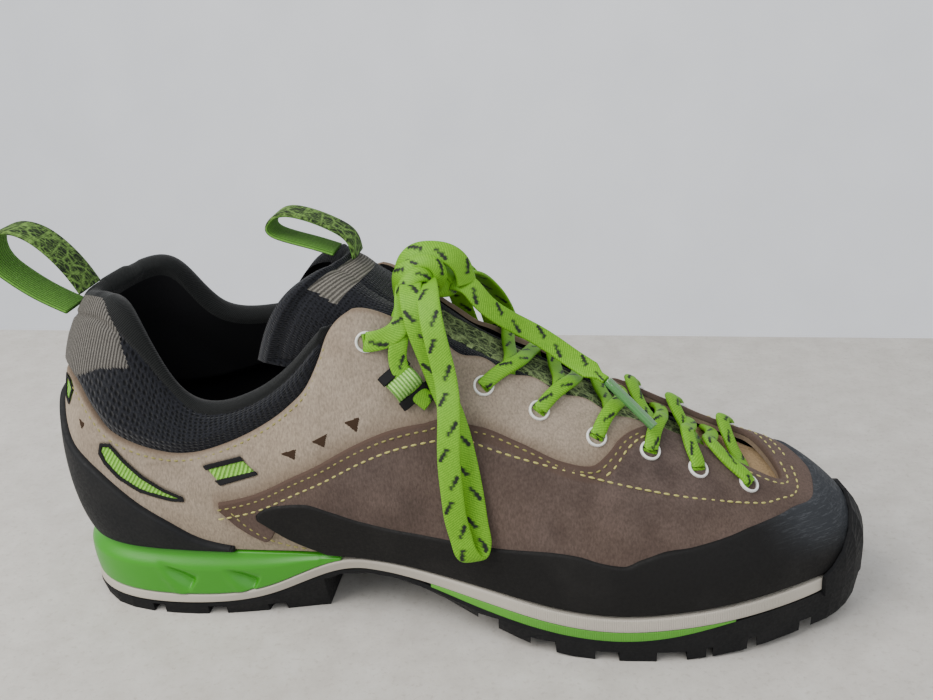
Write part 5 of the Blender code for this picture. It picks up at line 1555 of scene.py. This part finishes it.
def make_loops(mats):
    loops = (("heel", HEEL_LOOP, HEEL_WEBBING_WIDTH), ("tongue", TONGUE_LOOP, TONGUE_WEBBING_WIDTH))
    for title, route, width in loops:
        loop = tape(f"{title}_pull", [place(x, 0, z) for x, z in route], width, WEBBING_THICKNESS, (0, 1, 0),
                    [mats["loop_in"], mats["loop_out"]])
        dress(loop, f"{title}_loop")
    s, v = KEEPER_SPOT
    for side, label in ((-1, "inner"), (1, "outer")):
        centre = above_skin(side, s, v, 0.0)
        n = skin_normal(np.array(side_place(side, s)), np.array(v))
        down = unit(above_skin(side, s, v - 0.05, 0.0) - above_skin(side, s, v + 0.05, 0.0))
        down = down * cos(radians(KEEPER_TURN)) - side * np.cross(down, n) * sin(radians(KEEPER_TURN))
        route = []
        low = 0.9 * MM
        for share, rise in ((-1, low), (-0.6, low + 0.4 * MM), (-0.3, low + KEEPER_RISE), (0.3, low + KEEPER_RISE),
                            (0.6, low + 0.4 * MM), (1, low)):
            route.append(centre + down * (share * KEEPER_LENGTH / 2) + n * rise)
        keeper = tape(f"keeper_{label}", route, KEEPER_WIDTH, WEBBING_THICKNESS, np.cross(down, n),
                      [mats["keeper"], mats["keeper"]], 60)
        dress(keeper, f"lace_keeper_{label}")
        for end in (-1, 1):
            bar_route = [centre + down * (end * (KEEPER_LENGTH / 2 - t * MM)) + n * (1.5 * MM + 0.45 * t * MM)
                         for t in (-1.2, 0.0, 1.0, 2.0)]
            bar = tape(f"keeper_bar_{label}_{'low' if end > 0 else 'high'}", bar_route, KEEPER_WIDTH + 1.2 * MM,
                       1.2 * MM, np.cross(down, n), [mats["black"], mats["black"]], 16)
            dress(bar)


# Sections of an eyelet's ring and of the dark disc in it: radius and height in millimetres
EYELET_PROFILE = (
    (2.75, -1.4), (2.75, 0.2), (2.85, 0.55), (3.1, 0.75), (3.4, 0.7), (3.62, 0.4), (3.65, 0.0), (3.6, -0.5),
)
EYELET_DISC = ((2.8, -0.75), (1.3, -0.8), (0.05, -0.8), (0.05, -1.3), (2.8, -1.3))


def ply_height(s, v):
    """Height of the leather's face over the skin at an eyelet."""
    return PLY_GAP + OVERLAY_THICKNESS if v < line_through(VAMP_TOP)(s) else 0.0


def make_eyelets(mats):
    sides = 40
    a = np.linspace(0, 2 * pi, sides, endpoint=False)
    for side, label in ((-1, "inner"), (1, "outer")):
        for k, (s, v) in enumerate(EYELETS):
            n = skin_normal(np.array(side_place(side, s)), np.array(v))
            centre = above_skin(side, s, v, ply_height(s, v) + 0.1 * MM)
            turn = np.array(Vector(n).to_track_quat("Z", "Y").to_matrix())

            def turned(rows):
                local = [np.stack([r * np.cos(a), r * np.sin(a), np.full(sides, h)], 1) * MM for r, h in rows]
                return centre + np.stack(local, 1) @ turn.T

            ring_obj = tube_grid(f"eyelet_ring_{label}_{k + 1}", turned(EYELET_PROFILE), [mats["enamel"]], True)
            dress(ring_obj, f"eyelet_{label}_{k + 1}")
            dress(tube_grid(f"eyelet_hole_{label}_{k + 1}", turned(EYELET_DISC), [mats["lining"]], True))


# Lace

FLECK_PERIOD = 18 * MM
# Place along and across of each fleck in a period, in millimetres
FLECKS = ((1.0, -2.3), (3.2, -0.9), (9.6, 0.6), (11.8, 2.0))


def flecks(distance, across_mm, phase):
    """Dark flecks woven into the lace: slanted pairs, on one edge and then the other."""
    x = np.mod(distance / MM + phase, FLECK_PERIOD / MM)
    y = across_mm + 0 * x
    total = np.zeros_like(x + y)
    for fx, fy in FLECKS:
        for dx, dy in ((-0.60, -0.30), (0.60, 0.30)):
            d = np.hypot((x - fx - dx) / 0.95, (y - fy - dy) / 0.72)
            total = np.maximum(total, 1 - smoothstep(0.85, 1.15, d))
    return total


def lace(name, points, faces_out, mats, phase=0.0, width=LACE_WIDTH, thickness=LACE_THICKNESS, step=0.4 * MM,
         bow=0.0, sides=None, taper=None):
    """Flat braid through the points. faces_out holds the direction of its flat face at each point,
    or sides the direction across it, which may then lean along the route."""
    points = np.array(points, float)
    reach = along(points)
    count = max(24, int(reach[-1] / step))
    at = np.linspace(0, reach[-1], count)
    centre = Smooth(reach, points)(at)
    ahead = unit(np.gradient(centre, axis=0))
    if sides is None:
        out = square_to(ahead, Smooth(reach, np.array(faces_out, float))(at))
        side = np.cross(ahead, out)
    else:
        side = unit(Smooth(reach, np.array(sides, float))(at))
        out = unit(np.cross(side, ahead))
    a = np.linspace(0, 2 * pi, 44, endpoint=False)
    x = np.sign(np.cos(a)) * np.abs(np.cos(a))**0.62
    y = np.sign(np.sin(a)) * np.abs(np.sin(a))**0.70
    arch = bow * (1 - x**2)
    wide = np.full(count, width / 2)
    if taper is not None:
        wide = wide * np.clip((reach[-1] - at) / taper, 0.42, 1)
    section = (centre[:, None] + side[:, None] * (x[None, :] * wide[:, None])[..., None]
               + out[:, None] * (y * thickness / 2 + arch)[None, :, None])
    uv = np.stack(np.broadcast_arrays(at[:, None], (x * width / 2)[None, :]), -1)
    spots = flecks(at[:, None], (x * LACE_WIDTH / 2 / MM)[None, :], phase)
    obj = tube_grid(name, section, [mats["lace"]], False, uv.reshape(-1, 2), {"fleck": spots})
    return obj, centre


# How far along each strand has moved to the toe where it comes over its own edge, in stations
NEAR_SLANTS = (0, 0.40, 0.42, 0.40, 0.30, 0.12, -0.22)
FAR_SLANT = 0.14
END_SLANT = 0.20


def crossing(side, k, mats):
    """One strand: out of an eyelet, over the edge, across the tongue to the toe side, under the far edge."""
    s, v = EYELETS[k]
    height = ply_height(s, v)
    near_u = np.array(side_place(side, s))
    n = skin_normal(near_u, np.array(v))
    hole = above_skin(side, s, v, height)
    slant = NEAR_SLANTS[k] if side < 0 else FAR_SLANT
    end = min(s + slant + END_SLANT, 11.05)
    row = tongue_row(end, 15)
    row = row if side < 0 else row[::-1]
    up = np.array([0.35, 0, 0.94])
    over = 2.4 * MM if side < 0 else 0.6 * MM
    edge_v = throat_edge(s)
    rim = above_skin(side, s + 0.86 * slant, edge_v, height + 1.3 * MM)
    rim_n = skin_normal(near_u, np.array(0.97))
    beside = above_skin(side, s + 0.42 * slant, v + 0.5 * (edge_v - v), height + 1.4 * MM)
    middle = tongue_row(s + slant + END_SLANT / 2, 15)[7]
    points = [hole - n * 3.0 * MM, hole - n * 0.2 * MM, beside, rim + up * 0.4 * MM,
              row[4] * 0.2 + middle * 0.8 + up * (over + 2.0 * MM), row[9] + up * (over + 1.2 * MM),
              row[11] + up * 1.2 * MM, row[12] + up * 0.4 * MM]
    tilt = unit(hole - beside)
    faces_out = [-tilt + 0.1 * n, n * 0.5 - tilt * 0.85, n, rim_n + 0.5 * up, up, up, up, up]
    strand, _ = lace(f"lace_strand_{'inner' if side < 0 else 'outer'}_{k + 1}", points, faces_out, mats,
                        5.3 * k + (2 if side < 0 else 9), 5.0 * MM, 2.2 * MM, bow=0.25 * MM)
    return strand


def make_crossings(mats):
    for k in range(1, len(EYELETS)):
        dress(crossing(-1, k, mats), f"lace_crossing_{k}")
        dress(crossing(1, k, mats))


# Strand through the keeper: station, v and height above the skin, from its lower end up
KEEPER_STRAND = (
    (6.98, 0.735, 1.0 * MM), (6.86, 0.755, 1.5 * MM), (6.72, 0.790, 2.0 * MM), (6.62, 0.855, 2.6 * MM),
    (6.64, 0.930, 3.2 * MM),
)


def top_strand(side, mats):
    """From the top eyelet over the ear to the knot, and the strand through the keeper."""
    s, v = EYELETS[0]
    label = "inner" if side < 0 else "outer"
    n = skin_normal(np.array(side_place(side, s)), np.array(v))
    hole = above_skin(side, s, v, 0.0)
    x, y, z = KNOT_CENTRE
    end = np.array((x - 5 * MM, y + side * 2 * MM, z + 0.5 * MM))
    start = above_skin(side, s + 0.2, v + 0.02, 2.4 * MM)
    over = above_skin(side, s + 0.42, 0.975, 3.4 * MM)
    middle = (over + end) / 2 + np.array([0, side * 1.0 * MM, 1.2 * MM])
    points = [hole - n * 3.0 * MM, hole + n * 0.3 * MM, start, over, middle, end]
    tilt = unit(hole - start)
    faces_out = [-tilt, n * 0.7 - tilt * 0.7, n, n + np.array([0, 0, 0.5]), n * 0.6 + np.array([0, 0, 1]),
                 n * 0.6 + np.array([0, 0, 1])]
    strand, _ = lace(f"lace_top_strand_{label}", points, faces_out, mats, phase=3, width=6.8 * MM)
    dress(strand, f"lace_top_{label}")
    keep_s, keep_v = KEEPER_SPOT
    kn = skin_normal(np.array(side_place(side, keep_s)), np.array(keep_v))
    points = [above_skin(side, *place_at) for place_at in KEEPER_STRAND]
    points += [np.array((x - a * MM, y + side * b * MM, z - c * MM)) for a, b, c in ((6, 10, 9), (3, 7, 5))]
    faces_out = [kn, kn, kn, kn, kn, kn * 0.8 + np.array([0, 0, 0.4]), kn * 0.8 + np.array([0, 0, 0.6])]
    strand, _ = lace(f"lace_keeper_strand_{label}", points, faces_out, mats, phase=11, width=6.2 * MM)
    dress(strand)


# Folds of the knot: offsets from its centre in millimetres, the direction each fold faces, fleck phase, width
KNOT_FOLDS = (
    ("knot_over_fold",
     ((-7.2, -2.0, -6.6), (-7.6, -4.0, -0.8), (-6.2, -5.0, 4.8), (-2.6, -5.0, 8.2), (3.2, -5.0, 9.2),
      (9.0, -5.0, 8.2), (12.6, -4.5, 5.2), (14.2, -4.0, 1.6), (15.0, -4.0, -2.6)),
     ((-1, -0.9, 0), (-1, -1, 0.1), (-0.8, -0.9, 0.6), (-0.3, -0.9, 0.9), (0, -0.9, 0.9), (0.3, -0.9, 0.9),
      (0.7, -0.9, 0.6), (0.8, -0.8, 0.4), (0.6, -0.7, 0.6)), 2, 7.8),
    ("knot_ring_fold",
     ((-4.6, -8.0, 6.0), (0.0, -9.6, 7.2), (4.5, -10.2, 6.6), (6.8, -10.0, 3.4), (6.2, -9.2, -0.4),
      (3.4, -7.6, -3.6), (-1.0, -5.0, -5.0)),
     ((-0.3, -0.6, 1), (0, -0.8, 0.8), (0.3, -1, 0.5), (0.6, -1, 0.1), (0.5, -1, -0.3), (0.3, -1, -0.6),
      (0, -0.8, -0.8)),
     8, 5.0),
    ("knot_curl_fold",
     ((-5.2, -14.0, -9.0), (-5.4, -14.8, -4.0), (-4.0, -14.6, 0.4), (-0.8, -13.2, 3.2),
      (2.4, -11.6, 3.2), (4.2, -9.0, 0.8), (3.6, -6.0, -3.0)),
     ((-0.5, -1, 0), (-0.6, -1, 0.2), (-0.5, -1, 0.5), (-0.1, -1, 0.8), (0.4, -0.9, 0.8),
      (0.9, -0.6, 0.5), (1, -0.3, 0)),
     12, 5.8),
    ("knot_left_fold",
     ((-9.4, -3.0, -9.0), (-8.8, -6.5, -3.0), (-6.8, -9.5, 2.2), (-3.2, -10.4, 4.6), (0.4, -9.8, 5.2),
      (3.2, -7.0, 3.8)),
     ((-1, -0.6, 0), (-1, -0.8, 0.1), (-0.7, -1, 0.4), (-0.2, -1, 0.7), (0.2, -1, 0.7),
      (0.4, -0.6, 0.8)), 6, 6.6),
    ("knot_back_fold",
     ((-8.0, 5.5, -3.0), (-7.5, 9.0, 1.5), (-1.5, 10.5, 4.8), (5.0, 9.0, 3.6), (8.5, 5.0, 0.0)),
     ((-0.7, 0.7, 0), (-0.5, 1, 0.4), (0, 1, 0.7), (0.5, 1, 0.4), (1, 0.6, 0)), 15, 8.0),
    ("knot_core_fold",
     ((-9.0, 1.0, -3.0), (-4.0, -2.0, 2.5), (2.0, -2.5, 4.0), (8.0, -1.0, 2.0), (11.0, 1.0, -2.5)),
     ((-0.4, -0.5, 1), (-0.2, -0.5, 1), (0, -0.5, 1), (0.2, -0.5, 1), (0.4, -0.5, 1)), 3, 9.5),
    ("knot_low_fold",
     ((-7.0, -5.0, -5.5), (-2.0, -8.0, -4.0), (3.0, -7.0, -3.4), (8.0, -4.0, -4.4), (10.0, 1.0, -5.0)),
     ((-0.4, -1, -0.2), (0, -1, 0), (0.2, -1, 0), (0.5, -1, 0), (1, -0.5, 0)), 9, 6.4),
)


def make_knot(mats):
    """The bow's knot: folds of the lace over and round one another."""
    centre = np.array(KNOT_CENTRE)
    for name, offsets, faces_out, phase, width in KNOT_FOLDS:
        points = [centre + np.array(o) * MM for o in offsets]
        fold, _ = lace(name, points, faces_out, mats, phase, width * MM, LACE_THICKNESS, bow=0.35 * MM)
        dress(fold, "lace_knot" if name == "knot_over_fold" else None)


def from_knot(route, both):
    """A free run of the lace, its first point (and its last) moved to the knot's surface."""
    route = [np.array(p, float) for p in route]
    tilt = radians(KNOT_TILT)
    centre = np.array(KNOT_CENTRE)
    for k in (0, -1) if both else (0,):
        d = unit(route[k] - centre)
        local = np.array([d[0] * cos(tilt) - d[2] * sin(tilt), d[1], d[0] * sin(tilt) + d[2] * cos(tilt)])
        reach = 0.5 / np.linalg.norm(local / np.array(KNOT_SIZE))
        route[k] = centre + d * (reach + GAP)
    return route


def free_cord(name, route, faces_out, mats, node, phase, sides=None,
              taper=None):
    """A free run of the lace: its first point is where it leaves the knot."""
    obj, centre = lace(name, route, faces_out, mats, phase, sides=sides, taper=taper)
    dress(obj, node)
    true_length = float(np.linalg.norm(np.diff(centre, axis=0), axis=1).sum())
    tuple(centre[0])
    [tuple(p) for p in centre]


NEAR_LOOP_FOLD = 14
NEAR_LOOP_DEPTH = 1.4 * MM


def near_loop():
    """The near loop's route, its rear strand set back from the front one, and the directions across it."""
    route = from_knot(NEAR_LOOP_ROUTE, True)
    count = len(route)
    view = np.array([0.0, -0.93, 0.36])
    sides = []
    for k in range(count):
        ahead = route[min(k + 1, count - 1)] - route[max(k - 1, 0)]
        across_view = unit(np.cross(ahead, view))
        if across_view[0] < 0:
            across_view = -across_view
        fold = np.exp(-((k - NEAR_LOOP_FOLD) / 1.6)**2)
        level = np.array([0.97, 0.05, 0.18])
        sides.append(unit(across_view * (1 - fold) + level * fold))
    shift = np.clip((NEAR_LOOP_FOLD - np.arange(count)) / 1.0, -1, 1) * NEAR_LOOP_DEPTH
    ease = smoothstep(0, 4, np.arange(count)) * smoothstep(0, 4, np.arange(count)[::-1])
    route = [p + np.array([0, 1, -0.3]) * d for p, d in zip(route, shift * ease)]
    return route, sides


def make_bow(mats):
    route, sides = near_loop()
    free_cord("bow_loop_inner", route, None, mats, "lace_loop_inner", 4, sides=sides)
    far_route = from_knot(FAR_LOOP_ROUTE, True)
    far_out = [(0, 1, 0.6)] + [(0, 1, 0.5)] * (len(far_route) - 2) + [(0, 1, 0.6)]
    free_cord("bow_loop_outer", far_route, far_out, mats, "lace_loop_outer", 7)
    tip = tape("lace_tip", AGLET_ROUTE, 3.0 * MM, 2.6 * MM, (0, 1, 0.2), [mats["tip"], mats["tip"]], 40)
    dress(tip, "lace_tip_inner")
    end_route = from_knot(NEAR_END_ROUTE, False)
    end_out = [(0.5, -0.8, 0.6)] * 3 + [(0.35, -0.75, 0.75)] * (len(end_route) - 3)
    free_cord("bow_end_inner", end_route, end_out, mats, "lace_end_inner", 1,
              taper=7 * MM)
    far_end = from_knot(FAR_END_ROUTE, False)
    free_cord("bow_end_outer", far_end, [(0.3, 0.7, 0.8)] * len(far_end), mats, "lace_end_outer", 13)


# Camera and light

def make_camera():
    data = bpy.data.cameras.new("camera")
    data.sensor_width = 36
    data.lens = CAMERA_LENS
    cam = bpy.data.objects.new("camera", data)
    turn = Matrix((CAMERA_RIGHT, CAMERA_UP, CAMERA_BACK)).transposed().to_4x4()
    cam.matrix_world = Matrix.Translation(CAMERA_PLACE) @ turn
    bpy.context.scene.collection.objects.link(cam)
    bpy.context.scene.camera = cam


def area_light(name, place_at, target, size, power, colour):
    data = bpy.data.lights.new(name, "AREA")
    data.size = size
    data.energy = power
    data.color = colour
    obj = bpy.data.objects.new(name, data)
    direction = Vector(target) - Vector(place_at)
    obj.rotation_euler = direction.to_track_quat("-Z", "Y").to_euler()
    obj.location = place_at
    bpy.context.scene.collection.objects.link(obj)


# Where the floor ends in the distance, and the plain wall far enough behind it for a look at the shoe's back
FLOOR_END = 0.25
WALL_PLACE = 1.30


def make_stage():
    world = bpy.data.worlds.new("room")
    bpy.context.scene.world = world
    world.use_nodes = True
    back = world.node_tree.nodes["Background"]
    back.inputs["Color"].default_value = (0.82, 0.85, 0.90, 1)
    back.inputs["Strength"].default_value = 0.66
    area_light("window", (-0.50, -0.45, 0.85), (0.1, 0, 0.05), 0.8, 15, (1.0, 0.98, 0.95))
    area_light("room_fill", (0.70, -0.80, 0.75), (0.12, 0, 0.05), 1.2, 5.5, (0.96, 0.98, 1.0))
    stone = Shader("stone_floor", (0.52, 0.49, 0.45), 0.75)
    grain = stone.noise(60, 6, 0.7)
    spots = stone.noise(420, 4, 0.75)
    tone = stone.ramp(grain, (0.3, (0.50, 0.47, 0.425)), (0.7, (0.62, 0.595, 0.55)))
    stone.feed(stone.mix(stone.ramp(spots, (0.30, 0.45), (0.46, 0.0)), tone, (0.33, 0.29, 0.24)), "Base Color")
    stone.bump(spots, 0.0002, 0.3)
    floor = build("floor", [(-1.2, -0.9, 0), (1.5, -0.9, 0), (1.5, FLOOR_END, 0), (-1.2, FLOOR_END, 0)],
                  [[0, 1, 2, 3]], [stone.mat], smooth=False)
    plaster = Shader("plaster_wall", (0.74, 0.73, 0.71), 0.9, specular=0.2)
    clouds = plaster.noise(8, 4, 0.6)
    plaster.feed(plaster.ramp(clouds, (0.3, (0.80, 0.81, 0.83)), (0.7, (0.87, 0.88, 0.90))), "Base Color")
    # The wall glows a little: painted light, standing in for the lamps' light on it at this distance.
    plaster.set("Emission Color", (0.97, 0.98, 1.0, 1))
    plaster.set("Emission Strength", 0.28)
    corners = [(-4, WALL_PLACE, -1.2), (4.5, WALL_PLACE, -1.2), (4.5, WALL_PLACE, 3), (-4, WALL_PLACE, 3)]
    wall = build("wall", corners, [[0, 1, 2, 3]], [plaster.mat], smooth=False)


def main():
    make_camera()
    make_stage()
    mats = make_materials()
    make_upper(mats)
    make_vamp(mats)
    make_rubber(mats)
    make_collar(mats)
    make_sole(mats)
    make_stitches(mats)
    make_windows(mats)
    make_tongue(mats)
    make_loops(mats)
    make_eyelets(mats)
    make_crossings(mats)
    for side in (-1, 1):
        top_strand(side, mats)
    make_knot(mats)
    make_bow(mats)


main()
